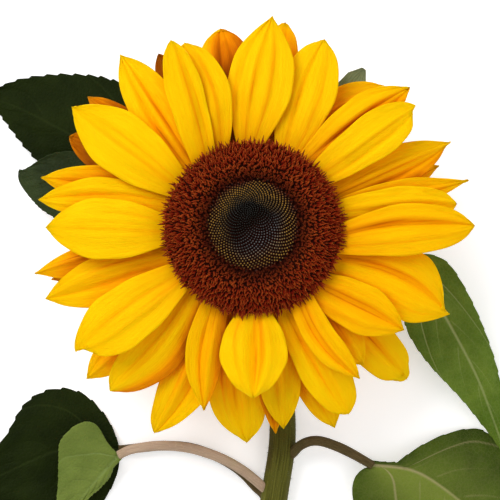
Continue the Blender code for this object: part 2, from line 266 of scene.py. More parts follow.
stem_path = smooth_route(STEM_ROUTE, STEM_ROWS)
stem_radii = np.linspace(*STEM_RADII, STEM_ROWS)
stem_skin = stem_finish("stem_skin", body=(0.135, 0.132, 0.020), shade=(0.048, 0.046, 0.005),
                        blush=(0.065, 0.042, 0.008))
stem_rings = tube_points(stem_path, stem_radii, STEM_SIDES, stem_section)
stem_rings[..., 2] = np.maximum(stem_rings[..., 2], 0.0)     # pressed on the surface
place("stem_rod", grid_mesh("stem_rod", stem_rings, wrap=True, ends=(True, False)),
      stem_skin, "stem", "stem")

# The cut face: a thin green rind round spongy, pale pith that has dried a little hollow.
# Each ring's share of the stem's radius, and how deep it has sunk in mm.
CUT_FACE = ((1.0, 0.0), (0.93, -0.15), (0.86, 0.1), (0.6, 0.3), (0.35, 0.45), (0.12, 0.55))
cut_centre = stem_path[-1]
cut_rings = [cut_centre + (stem_rings[-1] - cut_centre) * share + np.array([0.0, sink, 0.0])
             for share, sink in CUT_FACE]
pith, tree, shader = finish("stem_pith", roughness=0.85)
cut_uv = node(tree, "ShaderNodeSeparateXYZ", {"Vector": coordinates(tree, "UV")})
pores = noise_on(tree, coordinates(tree), 1400.0, 3.0)
inner = blend_colours(tree, remap(tree, pores, 0.4, 0.65), (0.52, 0.50, 0.30), (0.72, 0.70, 0.50))
paint(tree, shader, blend_colours(tree, remap(tree, cut_uv.outputs["Y"], 0.25, 0.5),
                                  (0.20, 0.26, 0.08), inner))
raise_bumps(tree, shader, pores, 0.0004)
place("stem_cut_face", grid_mesh("stem_cut_face", cut_rings, wrap=True, ends=(False, True)),
      pith, "stem")


def geometry_tree(name, inputs):
    """New geometry tree with a mesh in and out and named inputs."""
    tree = bpy.data.node_groups.new(name, "GeometryNodeTree")
    tree.is_modifier = True
    tree.interface.new_socket("Geometry", in_out="INPUT", socket_type="NodeSocketGeometry")
    for label, kind, value in inputs:
        socket = tree.interface.new_socket(label, in_out="INPUT", socket_type=kind)
        if value is not None:
            socket.default_value = value
    tree.interface.new_socket("Geometry", in_out="OUTPUT", socket_type="NodeSocketGeometry")
    return tree, tree.nodes.new("NodeGroupInput").outputs, tree.nodes.new("NodeGroupOutput")


def random_between(tree, low, high, seed):
    """Random number for each point or instance."""
    return node(tree, "FunctionNodeRandomValue", {2: low, 3: high, "Seed": seed}).outputs[1]


def lean_and_spin(tree, rotation, lean, spin):
    """Rotation leaned over and then turned about its own axis."""
    turn = node(tree, "ShaderNodeCombineXYZ", {"X": lean, "Z": spin})
    return node(tree, "FunctionNodeRotateRotation", {0: rotation, 1: turn.outputs[0]},
                rotation_space="LOCAL").outputs[0]


def end_tree(tree, instances, material, result):
    """Make the instances real, give them their material and hand them out."""
    real = node(tree, "GeometryNodeRealizeInstances", {"Geometry": instances})
    dressed = node(tree, "GeometryNodeSetMaterial", {
        "Geometry": real.outputs[0], "Material": material})
    tree.links.new(dressed.outputs[0], result.inputs[0])
    return tree


def grow(name, base, tree, values):
    """Run a geometry tree on a mesh and return the plain mesh it makes."""
    carrier = bpy.data.objects.new(name, base)
    bpy.context.collection.objects.link(carrier)
    modifier = carrier.modifiers.new(name, "NODES")
    modifier.node_group = tree
    identifiers = {item.name: item.identifier for item in tree.interface.items_tree
                   if item.in_out == "INPUT"}
    for label, value in values.items():
        modifier[identifiers[label]] = value
    graph = bpy.context.evaluated_depsgraph_get()
    made = bpy.data.meshes.new_from_object(carrier.evaluated_get(graph))
    made.name = name
    bpy.data.objects.remove(carrier)
    return made


BRISTLES_FROM = 0.0014           # lower down they are pressed flat and can't be seen


def bristle_mesh():
    """One bristle: a long three-sided spike, 1 unit tall, with a bent tip."""
    mesh = bpy.data.meshes.new("bristle")
    ring = [(math.cos(i * math.tau / 3), math.sin(i * math.tau / 3)) for i in range(3)]
    verts = [(0.05 * x, 0.05 * y, 0.0) for x, y in ring]
    verts += [(0.035 * x + 0.06, 0.035 * y, 0.55) for x, y in ring] + [(0.24, 0.0, 1.0)]
    faces = [(0, 2, 1)]
    faces += [(i, (i + 1) % 3, (i + 1) % 3 + 3, i + 3) for i in range(3)]
    faces += [(i + 3, (i + 1) % 3 + 3, 6) for i in range(3)]
    mesh.from_pydata(verts, [], faces)
    return mesh


def bristle_tree(material):
    """Bristles scattered over a surface, standing along its normals."""
    tree, given, result = geometry_tree("Bristles", (
        ("Per square metre", "NodeSocketFloat", 100000.0), ("Length", "NodeSocketFloat", 0.001),
        ("Bristle", "NodeSocketObject", None), ("Seed", "NodeSocketInt", 1)))
    spread = node(tree, "GeometryNodeDistributePointsOnFaces", {
        "Mesh": given["Geometry"], "Density": given["Per square metre"],
        "Seed": given["Seed"]})
    shape = node(tree, "GeometryNodeObjectInfo", {"Object": given["Bristle"]})
    length = math_of(tree, "MULTIPLY", random_between(tree, 0.4, 1.0, 4), given["Length"])
    turned = lean_and_spin(tree, spread.outputs["Rotation"],
                           random_between(tree, -0.5, 0.5, 13),
                           random_between(tree, 0.0, 6.28, 9))
    height = node(tree, "ShaderNodeSeparateXYZ", {
        "Vector": node(tree, "GeometryNodeInputPosition").outputs[0]}).outputs["Z"]
    off_the_table = math_of(tree, "GREATER_THAN", height, BRISTLES_FROM)
    on_points = node(tree, "GeometryNodeInstanceOnPoints", {
        "Points": spread.outputs["Points"], "Selection": off_the_table,
        "Instance": shape.outputs["Geometry"], "Rotation": turned, "Scale": length})
    return end_tree(tree, on_points.outputs[0], material, result)


bristle_finish, tree, shader = finish("bristle_white", roughness=0.5)
bristle_tone = noise_on(tree, coordinates(tree), 300.0)
paint(tree, shader, blend_colours(tree, bristle_tone, (0.12, 0.13, 0.05), (0.22, 0.23, 0.10)))
bristle = bpy.data.objects.new("bristle_shape", bristle_mesh())
bristles = bristle_tree(bristle_finish)


def bristles_on(name, mesh, slot, density, length, seed):
    """Cover a mesh with bristles as a piece of their own."""
    grown = grow(name, mesh, bristles, {
        "Per square metre": density, "Length": length, "Bristle": bristle, "Seed": seed})
    place(name, grown, bristle_finish, slot)


bristles_on("stem_bristles", grid_mesh("stem_skin_copy", stem_rings[4:-2], wrap=True),
            "stem", density=420000.0, length=0.0011, seed=3)

# --- Receptacle ---------------------------------------------------------------------
# The fleshy green base of the head. It swells out of the stem like a shallow cup and
# carries bracts, petals and florets. It grew in one piece with them.

RECEPTACLE_PROFILE = (           # radius and height in mm, from the stem to the florets' bed
    (4.2, 24.6), (5.2, 26.0), (10.0, 26.9), (16.5, 28.9), (21.8, 32.2),
    (25.0, 35.7), (26.6, 38.8), (26.7, 42.0), (26.4, 44.6), (20.0, 45.0),
)
TURNED_ROWS = 60
TURNED_SIDES = 96
CUP_RIB_DEPTH = 0.012            # shallow ribs, as a share of the radius, below the petals
CUP_RIBS_TO = 40


def turned_rings(profile):
    """Rings turned about the head's centre line through a smooth (radius, height) profile."""
    line = smooth_route([(r, 0.0, z) for r, z in profile], TURNED_ROWS)
    angles = np.arange(TURNED_SIDES) * 2 * math.pi / TURNED_SIDES
    return np.array([[(r * math.cos(a), r * math.sin(a), z) for a in angles]
                     for r, _, z in line])


cup = turned_rings(RECEPTACLE_PROFILE)
cup_bearing = np.arctan2(cup[:, :, 1], cup[:, :, 0])
cup_fold = 1 + CUP_RIB_DEPTH * np.sin(13 * cup_bearing) * (cup[:, :, 2] < CUP_RIBS_TO)
cup[:, :, 0] *= cup_fold
cup[:, :, 1] *= cup_fold
cup_skin = stem_finish("receptacle_skin", body=(0.19, 0.27, 0.075), shade=(0.11, 0.17, 0.04),
                       blush=(0.24, 0.30, 0.12))
place("receptacle_cup", grid_mesh("receptacle_cup", cup[:, ::-1], wrap=True, ends=(True, True)),
      cup_skin, "receptacle", "receptacle")

# --- Bracts -------------------------------------------------------------------------
# The green scales behind the petals, in two rings: each is a leathery spearhead with a
# long tip, ribbed along its length and fringed with short white hairs.

BRACTS_IN_RING = 13
BRACT_ROWS = 22
BRACT_COLUMNS = 9
BRACT_SEEN_THICKNESS = 0.6


def bract_points(bearing, root, tip, width, lift, twist, blunt):
    """One bract from its root to its tip, both given as (radius, height)."""
    direction = np.array([math.cos(bearing), math.sin(bearing)])
    left = np.array([-direction[1], direction[0]])
    grid = []
    for t in np.linspace(0, 1, BRACT_ROWS):
        swell = math.sin(math.pi * min(0.28 + 0.72 * t, 1.0)) ** 0.9
        half = max(width / 2 * swell * (1 - 0.45 * t ** 2), 0.18)
        if blunt:
            half = min(half + blunt * t * t, width / 2) * min(1.0, 9.0 * (1.02 - t)) + 0.2
        radius = root[0] + (tip[0] - root[0]) * t
        height = root[1] + (tip[1] - root[1]) * t ** 1.25 + lift * math.sin(math.pi * t)
        row = []
        for s in np.linspace(1, -1, BRACT_COLUMNS):
            flat = direction * radius + left * (half * s + twist * t * t)
            fold = 0.16 * half * abs(s) ** 1.4 - 0.10 * math.cos(9 * s)
            row.append((flat[0], flat[1], height + fold))
        grid.append(row)
    return np.array(grid)


def join_meshes(name, meshes):
    """One mesh from several, keeping their UV maps."""
    joined = bmesh.new()
    for mesh in meshes:
        joined.from_mesh(mesh)
        bpy.data.meshes.remove(mesh)
    whole = bpy.data.meshes.new(name)
    joined.to_mesh(whole)
    joined.free()
    whole.shade_smooth()
    return whole


def thicken(piece, thickness):
    """Give an open sheet its thickness, half to each side."""
    wall = piece.modifiers.new("thickness", "SOLIDIFY")
    wall.thickness = thickness * MM
    wall.offset = 0.0


bract_finish, tree, shader = finish("bract_green", roughness=0.66)
bract_uv = coordinates(tree, "UV")
ribs = node(tree, "ShaderNodeTexWave", {"Vector": bract_uv, "Scale": 2.4, "Distortion": 0.6},
            wave_type="BANDS", bands_direction="X")
mottle = noise_on(tree, coordinates(tree), 260.0)
tips = node(tree, "ShaderNodeSeparateXYZ", {"Vector": bract_uv}).outputs["Y"]
green = blend_colours(tree, remap(tree, mottle, 0.35, 0.7), (0.130, 0.185, 0.075),
                      (0.26, 0.33, 0.165))
green = blend_colours(tree, math_of(tree, "MULTIPLY", ribs.outputs["Fac"], 0.25), green,
                      (0.26, 0.33, 0.14))
green = blend_colours(tree, remap(tree, tips, 0.72, 1.0, 0.0, 0.7), green, (0.20, 0.21, 0.10))
paint(tree, shader, green)
raise_bumps(tree, shader, math_of(tree, "ADD", ribs.outputs["Fac"], mottle), 0.0002)

# Name, bearing of the first, root, tip, width, arch, and the long tip of the first, if any.
BRACT_RINGS = (
    ("bracts_inner", 70.0, (26.2, 37.2), (46.5, 31.6), 12.5, 0.5, None),
    ("bracts_outer", 54.8, (23.2, 32.9), (52.5, 22.8), 13.5, 1.2, (66.8, 21.0)),
)
for name, turn, root, tip, width, lift, long_tip in BRACT_RINGS:
    made = []
    for i in range(BRACTS_IN_RING):
        bearing = math.radians(turn) + 2 * math.pi * i / BRACTS_IN_RING
        longest = long_tip and i == 0
        end = long_tip if longest else (tip[0] * (1 + 0.05 * math.sin(2.4 * i)), tip[1])
        wander = 1.6 * math.sin(5.1 * i)
        blunt = 3.0 if longest else 0.0
        points = bract_points(bearing, root, end, width, lift, wander, blunt)
        made.append(grid_mesh(f"{name}_{i}", points))
    ring = join_meshes(f"{name}_ring", made)
    bristles_on(f"{name}_hairs", ring.copy(), "bract", density=260000.0, length=0.0013, seed=7)
    thicken(place(f"{name}_ring", ring, bract_finish, "bract", name), BRACT_SEEN_THICKNESS)

# --- Petals -------------------------------------------------------------------------
# The ray florets: thin, silky, bright yellow tongues in six overlapping layers. Each is
# creased lengthwise into two or three ribs and finely veined. Their colour carries painted
# shade, orange to brown where the light only reaches them through their neighbours.

PETAL_FOOT_RADIUS = 27.3
PETAL_FOOT_HEIGHT = 39.5
PETAL_FOOT_HALF_WIDTH = 4.3
PETAL_TIP_HALF_WIDTH = 0.35
PETAL_TIP_FROM = 0.84            # where along it the notches of the tip begin
LEVEL_STEP = 1.45
SLOPE_BACK = math.radians(-10)
SLOPE_FRONT = math.radians(14)
DROOP = 0.0045                   # fall in mm for each square mm of distance from the foot
PETAL_ROWS_SEEN = 56
PETAL_COLUMNS_SEEN = 27
PETAL_SEEN_THICKNESS = 0.42
FINE_LINES = 3                   # dark veins to each side of the middle one
PLAIN_FOLDS = ((0.32, 0.6, 0.14), (-0.32, -0.6, 0.14))

# One row for each petal: bearing of the foot, bearing of the tip, reach of the tip, width,
# level, where it is widest (0 foot to 1 tip), how it tapers (small is blunt), how far it
# bows to its left. Then its looks. warm: how deep its yellow is, partly its own tone and
# partly painted shade, deepest on the back petals that lie in their neighbours' shadow.
# folds: place across (1 left, -1 right), height and width of each fold. curl: height of the
# left and the right edge. shade: painted shade along the left and the right edge. teeth:
# depth of the notches at the tip. lean: how far the tip turns to its left. wave: height of
# the ripple along the edges.
PETALS = (
    ((92.7, 84.7, 72.0, 22.4, 3, 0.52, 0.85, 0.0), dict(
        tone_and_shade=0.10, folds=((0.38, 1.0, 0.10), (-0.22, 0.9, 0.12), (0.75, -0.5, 0.1)))),
    ((84.0, 81.0, 71.1, 15.0, 0, 0.58, 0.45, 0.0), dict(
        tone_and_shade=0.35, teeth=0.8, curl=(0.8, -0.6))),
    ((65.0, 69.0, 68.5, 19.7, 2, 0.58, 0.60, 0.0), dict(
        folds=((0.2, -0.9, 0.10), (-0.35, 0.6, 0.2)), curl=(-0.8, 0.6))),
    ((60.0, 45.7, 67.0, 18.0, 0, 0.55, 0.60, 2.0), dict(tone_and_shade=0.2)),
    ((48.6, 41.5, 71.3, 15.0, 3, 0.60, 0.70, 1.5), dict(
        tone_and_shade=0.22, folds=((-0.45, -1.3, 0.22), (0.1, -0.7, 0.1), (0.4, 0.6, 0.2)), teeth=0.9,
        curl=(0.2, -1.0), shade=(0.0, 0.22))),
    ((37.6, 36.2, 67.9, 15.7, 4, 0.66, 0.50, 0.0), dict(
        tone_and_shade=0.05, folds=((0.1, 0.7, 0.14), (-0.5, -0.6, 0.12)), lean=0.45)),
    ((20.0, 22.9, 73.4, 15.0, 2, 0.55, 0.95, 0.0), dict(
        tone_and_shade=0.22, folds=((0.1, 0.9, 0.12), (-0.5, -0.8, 0.12)), lean=0.3,
        shade=(0.0, 0.35))),
    ((17.0, 18.0, 67.5, 12.0, 0, 0.55, 0.80, 0.0), dict(tone_and_shade=0.3)),
    ((8.8, 12.0, 75.4, 12.0, 3, 0.45, 1.10, 0.0), dict(
        tone_and_shade=0.25, folds=((0.0, 0.9, 0.14),))),
    ((8.0, 6.2, 69.6, 15.0, 4, 0.58, 0.50, 0.0), dict(
        tone_and_shade=0.05, folds=((-0.4, -0.9, 0.14), (0.35, 0.7, 0.18)), wave=0.7)),
    ((-10.8, 0.0, 75.1, 17.5, 5, 0.55, 0.55, 1.2), dict(
        tone_and_shade=0.25, folds=((0.55, 1.0, 0.16), (0.2, -0.9, 0.12), (-0.4, 0.4, 0.15)),
        curl=(1.0, -0.6))),
    ((-26.0, -24.0, 72.8, 23.5, 3, 0.66, 0.80, 4.0), dict(
        tone_and_shade=0.2, folds=((0.1, -0.9, 0.12), (0.5, 0.8, 0.2), (-0.5, 0.5, 0.2)), lean=-0.3)),
    ((-45.0, -34.6, 62.3, 17.0, 4, 0.55, 0.75, 0.0), dict(
        tone_and_shade=0.3, folds=((0.0, -0.9, 0.2), (0.5, 0.7, 0.2), (-0.55, 0.5, 0.15)))),
    ((-43.0, -44.8, 74.0, 16.5, 1, 0.66, 0.38, 0.0), dict(
        tone_and_shade=0.0, teeth=2.2, folds=((0.05, -1.1, 0.12),))),
    ((-50.0, -51.5, 60.5, 14.0, 2, 0.55, 0.60, 0.0), dict(tone_and_shade=0.12)),
    ((-56.0, -55.1, 63.0, 10.5, 5, 0.55, 0.75, -2.5), dict(
        tone_and_shade=0.25, folds=((-0.3, -0.9, 0.2), (0.3, 0.8, 0.2)), curl=(0.6, -1.0))),
    ((-67.0, -63.0, 72.0, 16.5, 3, 0.62, 0.42, 0.0), dict(
        tone_and_shade=0.04, folds=((0.25, 0.8, 0.14), (-0.3, -0.8, 0.12)), curl=(-0.9, 0.4))),
    ((-68.0, -67.9, 74.9, 15.0, 1, 0.60, 0.65, 0.0), dict(tone_and_shade=0.12)),
    ((-75.0, -81.4, 70.2, 15.0, 2, 0.55, 0.70, 0.0), dict(
        tone_and_shade=0.1, folds=((0.0, 0.8, 0.12),))),
    ((-85.0, -83.7, 71.8, 9.0, 1, 0.55, 0.70, 0.0), dict(tone_and_shade=0.75)),
    ((-89.0, -90.0, 58.1, 23.0, 5, 0.50, 0.60, 0.0), dict(
        tone_and_shade=-0.08, folds=((0.05, -1.3, 0.15), (0.5, 1.1, 0.2), (-0.45, 1.0, 0.2)),
        wave=0.5, teeth=0.7, curl=(-0.9, -0.9))),
    ((-98.6, -91.6, 74.8, 19.5, 0, 0.66, 0.65, -3.2), dict(
        tone_and_shade=0.0, folds=((0.3, 0.8, 0.09), (-0.1, -0.7, 0.09), (-0.45, 0.7, 0.09)),
        teeth=0.7)),
    ((-117.0, -104.9, 65.1, 13.0, 3, 0.50, 0.85, -2.0), dict(
        tone_and_shade=0.2, folds=((-0.2, -1.0, 0.15), (0.4, 0.6, 0.2)), curl=(-0.9, 0.6),
        shade=(0.4, 0.0))),
    ((-125.0, -115.5, 79.1, 17.5, 1, 0.55, 0.58, 4.5), dict(
        tone_and_shade=0.15, folds=((-0.2, 0.7, 0.15), (0.25, -0.9, 0.12)), curl=(0.6, -0.8))),
    ((-133.0, -130.9, 74.9, 18.5, 2, 0.58, 0.60, 3.3), dict(
        tone_and_shade=0.02, folds=((0.15, 0.6, 0.2), (-0.15, 0.5, 0.15)), curl=(-2.0, 0.4),
        shade=(0.60, 0.0))),
    ((-138.0, -137.5, 78.0, 14.0, 0, 0.60, 0.60, 0.0), dict(
        tone_and_shade=0.2, teeth=0.6, folds=((0.1, 0.8, 0.12), (-0.4, -0.6, 0.1)))),
    ((-146.0, -144.4, 72.6, 20.5, 4, 0.62, 0.52, 0.0), dict(
        tone_and_shade=0.08, folds=((0.3, 0.8, 0.12), (-0.2, -0.6, 0.2)), lean=-0.5)),
    ((-156.6, -160.7, 75.5, 17.0, 2, 0.55, 0.75, 0.0), dict(
        tone_and_shade=0.15, folds=((0.15, -0.8, 0.12), (-0.45, 0.6, 0.15)))),
    ((-163.0, -165.2, 72.0, 11.0, 0, 0.55, 0.80, 0.0), dict(tone_and_shade=0.5)),
    ((-168.0, -167.8, 77.1, 12.5, 1, 0.50, 0.85, 0.0), dict(
        tone_and_shade=0.35, folds=((-0.35, 0.9, 0.15),))),
    ((-176.8, -179.6, 70.4, 21.0, 4, 0.55, 0.70, 0.0), dict(
        tone_and_shade=0.0, folds=((0.3, 0.5, 0.25), (-0.35, 0.4, 0.25)), curl=(0.3, -1.0))),
    ((165.0, 173.0, 73.8, 14.0, 3, 0.55, 0.75, -1.5), dict(
        tone_and_shade=0.1, folds=((-0.2, -0.8, 0.15), (0.4, 0.6, 0.15)))),
    ((156.0, 167.1, 74.6, 13.0, 2, 0.55, 0.80, 0.0), dict(
        tone_and_shade=0.3, folds=((0.0, -0.9, 0.15),))),
    ((150.0, 154.0, 70.6, 15.0, 0, 0.60, 0.50, 0.0), dict(tone_and_shade=1.2)),
    ((152.0, 146.7, 73.7, 21.0, 4, 0.55, 0.75, 0.0), dict(
        tone_and_shade=0.0, folds=((0.3, 0.7, 0.18), (-0.25, -0.6, 0.14)), curl=(-0.8, 0.6))),
    ((143.0, 141.9, 72.2, 12.0, 1, 0.60, 0.70, 0.0), dict(tone_and_shade=1.0)),
    ((135.4, 127.8, 74.0, 17.0, 3, 0.55, 0.75, 0.0), dict(
        tone_and_shade=0.08, folds=((0.38, -1.0, 0.09), (-0.12, -0.9, 0.09), (0.1, 0.6, 0.1)))),
    ((120.0, 118.7, 67.9, 12.0, 0, 0.60, 0.55, 0.0), dict(tone_and_shade=1.4)),
    ((127.0, 113.9, 68.6, 12.5, 5, 0.58, 0.50, 0.0), dict(
        tone_and_shade=0.02, folds=((0.0, 1.1, 0.2), (-0.6, -0.6, 0.15)))),
    ((117.0, 110.5, 66.3, 16.0, 4, 0.60, 0.45, -2.7), dict(
        tone_and_shade=0.12, folds=((0.55, -1.2, 0.14), (-0.1, 0.8, 0.25)))),
    ((102.0, 99.3, 68.8, 18.5, 1, 0.62, 0.42, 0.0), dict(
        tone_and_shade=0.85, folds=((0.25, -1.1, 0.14), (-0.3, -0.6, 0.12)), curl=(1.2, 0.6),
        shade=(-0.35, 0.1))),
)


def level_height(level, radius):
    """Height of a petal level's middle surface at a distance from the centre line."""
    out = radius - PETAL_FOOT_RADIUS
    slope = math.tan(SLOPE_BACK + (SLOPE_FRONT - SLOPE_BACK) * level / 5)
    return PETAL_FOOT_HEIGHT + LEVEL_STEP * level + slope * out - DROOP * out * out


def point_at(radius, bearing):
    """Point on the plan at a distance and a bearing in degrees from the centre line."""
    return radius * np.array([math.cos(math.radians(bearing)), math.sin(math.radians(bearing))])


def petal_half_widths(t, width, widest, taper, phase):
    """Half the petal's width along it: a sine rise, then a cosine fall, a little uneven."""
    rise = np.sin(math.pi / 2 * np.clip(t / widest, 0, 1))
    fall = np.cos(math.pi / 2 * np.clip((t - widest) / (1 - widest), 0, 1)) ** taper
    half = PETAL_FOOT_HALF_WIDTH + (width / 2 - PETAL_FOOT_HALF_WIDTH) * rise
    half = np.where(t < widest, half, np.maximum(width / 2 * fall, PETAL_TIP_HALF_WIDTH))
    return half * (1 + 0.018 * np.sin(17 * t + phase) * np.clip(t / 0.4, 0, 1))


def petal_relief(t_grid, s_grid, looks, phase):
    """Height of the folds and ripples, and the painted shade in their creases, beside their ridges
    and on curled edges, with the fine veins' own colour.
    """
    relief = np.zeros_like(t_grid)
    crease_shade_and_veins = np.zeros_like(t_grid)
    for across, height, breadth in looks.get("folds", PLAIN_FOLDS):
        drift = across * (1 - 0.25 * t_grid) + 0.03 * np.sin(5 * t_grid + phase)
        relief += 1.7 * height * np.exp(-((s_grid - drift) / breadth) ** 2)
        # Painted shade along the bottom of each groove, and down one side of each ridge.
        line = drift if height < 0 else drift - 0.9 * breadth
        crease_shade_and_veins += 0.30 * abs(height) * np.exp(-((s_grid - line) / (0.28 * breadth)) ** 2)
        crease_shade_and_veins += 0.14 * abs(height) * np.exp(-((s_grid - line - 0.1) / (1.3 * breadth)) ** 2)
    for k in range(-FINE_LINES, FINE_LINES + 1):
        line = (0.27 * k + 0.05 * math.sin(2.1 * k + phase)) * (1 - 0.2 * t_grid)
        crease_shade_and_veins += 0.09 * np.exp(-((s_grid - line) / 0.04) ** 2)
    fade = np.sin(math.pi * np.clip(0.12 + 0.86 * t_grid, 0, 1)) ** 0.8
    relief *= fade
    crease_shade_and_veins *= fade
    edge = np.abs(s_grid)
    # Painted shade on a curled-down edge, as much as the looks give for the left and the right.
    shade_left, shade_right = looks.get("shade", (0.0, 0.0))
    shade = np.where(s_grid > 0, shade_left, shade_right)
    crease_shade_and_veins += shade * np.clip((edge - 0.15) / 0.6, 0, 1) ** 1.5
    relief += 0.055 * np.sin(21 * s_grid + phase + 2 * t_grid)
    relief += 0.16 * np.sin(9 * t_grid + 3 * s_grid + phase)
    envelope = np.sin(math.pi * np.clip(t_grid, 0, 1)) ** 0.6
    curl_left, curl_right = looks.get("curl", (0.3, -0.3))
    relief += np.where(s_grid > 0, curl_left, curl_right) * edge ** 2.6 * envelope
    relief += looks.get("wave", 0.2) * edge ** 3 * np.sin(20 * t_grid + phase)
    relief += 0.5 * math.sin(phase * 2.3) * t_grid ** 3
    return relief, crease_shade_and_veins


def petal_points(number, shape, looks):
    """Rows of points over a petal, how far along each is, and its painted shade in creases and its
    veins.
    """
    foot_bearing, tip_bearing, reach, width, level, widest, taper, bow = shape
    foot = point_at(PETAL_FOOT_RADIUS, foot_bearing)
    stretch = point_at(reach, tip_bearing) - foot
    length = np.linalg.norm(stretch)
    ahead = stretch / length
    left = np.array([-ahead[1], ahead[0]])
    phase = 1.7 * number
    t = np.sin(np.linspace(0, math.pi / 2, PETAL_ROWS_SEEN)) ** 1.1
    t_grid, s_grid = np.meshgrid(t, np.linspace(1, -1, PETAL_COLUMNS_SEEN), indexing="ij")
    half = petal_half_widths(t, width, widest, taper, phase)
    sideways = s_grid * half[:, None] + bow * np.sin(math.pi * t_grid)
    end = np.clip((t_grid - PETAL_TIP_FROM) / (1 - PETAL_TIP_FROM), 0, 1) ** 2
    notches = looks.get("teeth", 0.35) * np.cos(3.0 * math.pi * s_grid) * end
    lean = looks.get("lean", 0.0) * s_grid * end * width * 0.22
    forward = t_grid * length + notches * 0.5 + lean - 0.8 * end * s_grid ** 2
    relief, crease_shade_and_veins = petal_relief(t_grid, s_grid, looks, phase)
    flat = foot + forward[..., None] * ahead + sideways[..., None] * left
    radius = np.hypot(flat[..., 0], flat[..., 1])
    flat *= np.maximum(1.0, PETAL_FOOT_RADIUS / radius)[..., None]
    opened = np.clip(t_grid / 0.35, 0, 1) ** 1.5
    height = level_height(level, np.maximum(radius, PETAL_FOOT_RADIUS)) + relief * opened
    return np.dstack([flat, height]), t_grid, crease_shade_and_veins


petal_grids = {number: petal_points(number, shape, looks)
               for number, (shape, looks) in enumerate(PETALS, start=1)}
SKY_RAYS = 18
SKY_REACH = 30.0                 # mm, petals further away than this shade nothing
SKY_LOWEST = 0.86                # how far down from straight up the rays fan out


def stretch_grid(coarse, rows, columns):
    """Coarse grid of values blended up to a finer one."""
    down = np.linspace(0, coarse.shape[0] - 1, rows)
    across = np.linspace(0, coarse.shape[1] - 1, columns)
    tall = np.array([np.interp(down, np.arange(coarse.shape[0]), line) for line in coarse.T]).T
    return np.array([np.interp(across, np.arange(coarse.shape[1]), line) for line in tall])


def openness(grids):
    """Share of the sky that each petal point sees past the other petals."""
    vertices, panes = [], []
    for points, _, _ in grids.values():
        rows, columns = points.shape[:2]
        start = len(vertices)
        vertices += points.reshape(-1, 3).tolist()
        for r in range(rows - 1):
            for c in range(columns - 1):
                corner = start + r * columns + c
                panes.append((corner, corner + 1, corner + columns + 1, corner + columns))
    shell = BVHTree.FromPolygons(vertices, panes)
    sky = []
    for i in range(SKY_RAYS):
        z = 1 - (i + 0.5) / SKY_RAYS * SKY_LOWEST
        flat = math.sqrt(1 - z * z)
        bearing = i * math.pi * (3 - math.sqrt(5))
        sky.append(Vector((flat * math.cos(bearing), flat * math.sin(bearing), z)))
    total = sum(direction.z for direction in sky)
    seen = {}
    for number, (points, _, _) in grids.items():
        thinned = points[::2, ::2]
        share = []
        for x, y, z in thinned.reshape(-1, 3):
            start = Vector((x, y, z + 0.25))
            clear = sum(d.z for d in sky if shell.ray_cast(start, d, SKY_REACH)[0] is None)
            share.append(clear / total)
        coarse = np.array(share).reshape(thinned.shape[:2])
        seen[number] = stretch_grid(coarse, *points.shape[:2])
    return seen


# From the petals' yellow to the brown of their deepest painted shade.
PETAL_YELLOW = (1.0, 0.56, 0.001)
PETAL_SHADE_BROWN = (0.24, 0.060, 0.001)
PETAL_SHADE_STEPS = (                 # how deep the painted shade and tone, and its colour, between the two
    (0.15, (1.0, 0.49, 0.0005)), (0.38, (0.98, 0.37, 0.0005)), (0.52, (0.84, 0.27, 0.0005)),
    (0.68, (0.60, 0.17, 0.0005)), (0.84, (0.40, 0.105, 0.0005)),
)


def swing(tree, noise, reach):
    """Noise as a value that swings to both sides of zero."""
    return math_of(tree, "MULTIPLY", math_of(tree, "SUBTRACT", noise, 0.5), reach)


petal_finish, tree, shader = finish("petal_yellow", roughness=0.5, shine=0.02)
let_light_in(shader, 0.25, (1.0, 0.45, 0.05), 0.0025)
petal_uv = coordinates(tree, "UV")
fine_veins = noise_on(tree, petal_uv, 16.0, 3.0, 0.6, (5.0, 0.35, 1.0))
soft_patches = noise_on(tree, petal_uv, 3.0, 2.0, 0.5, (1.2, 1.0, 1.0))
# Painted shade and deeper tone from each point's mark, made patchy and veined by noise.
shade_and_patches = math_of(tree, "ADD", mark_of(tree, "tone_and_painted_shade"), swing(tree, soft_patches, 0.22))
uneven = math_of(tree, "ADD", shade_and_patches, swing(tree, fine_veins, 0.26))
yellows = node(tree, "ShaderNodeValToRGB", {"Fac": uneven})
stops = yellows.color_ramp.elements
stops[0].position, stops[0].color = 0.0, (*PETAL_YELLOW, 1.0)
stops[1].position, stops[1].color = 1.0, (*PETAL_SHADE_BROWN, 1.0)
for position, colour in PETAL_SHADE_STEPS:
    stops.new(position).color = (*colour, 1.0)
paint(tree, shader, yellows.outputs["Color"])
raise_bumps(tree, shader, fine_veins, 0.00035)

petal_light = openness(petal_grids)
for number, (points, t_grid, crease_shade_and_veins) in petal_grids.items():
    name = f"petal_{number:02d}"
    mesh = grid_mesh(f"{name}_blade", points)
    # Painted shade, partly the petal's own deeper tone: at the foot under the florets, where other
    # petals hide the sky, along creases, and for each petal from its looks.
    foot_tone_and_shade = 0.30 * np.clip(1 - t_grid / 0.45, 0, 1) ** 1.3
    sky_shade = np.clip((0.78 - petal_light[number]) / 0.70, 0, 1)
    own = 0.6 * PETALS[number - 1][1].get("tone_and_shade", 0.1) - 0.04
    mark_mesh(mesh, "tone_and_painted_shade", np.clip(own + crease_shade_and_veins + foot_tone_and_shade + 0.5 * sky_shade, 0, 1))
    thicken(place(f"{name}_blade", mesh, petal_finish, "petal", name), PETAL_SEEN_THICKNESS)

# --- Disc ---------------------------------------------------------------------------
# The middle of the flower: hundreds of small florets in spirals that follow the golden
# angle. Those in the ring are open, brown and velvety with forked curling stigmas; those
# in the dished middle are still closed, nearly black, with ochre tips.

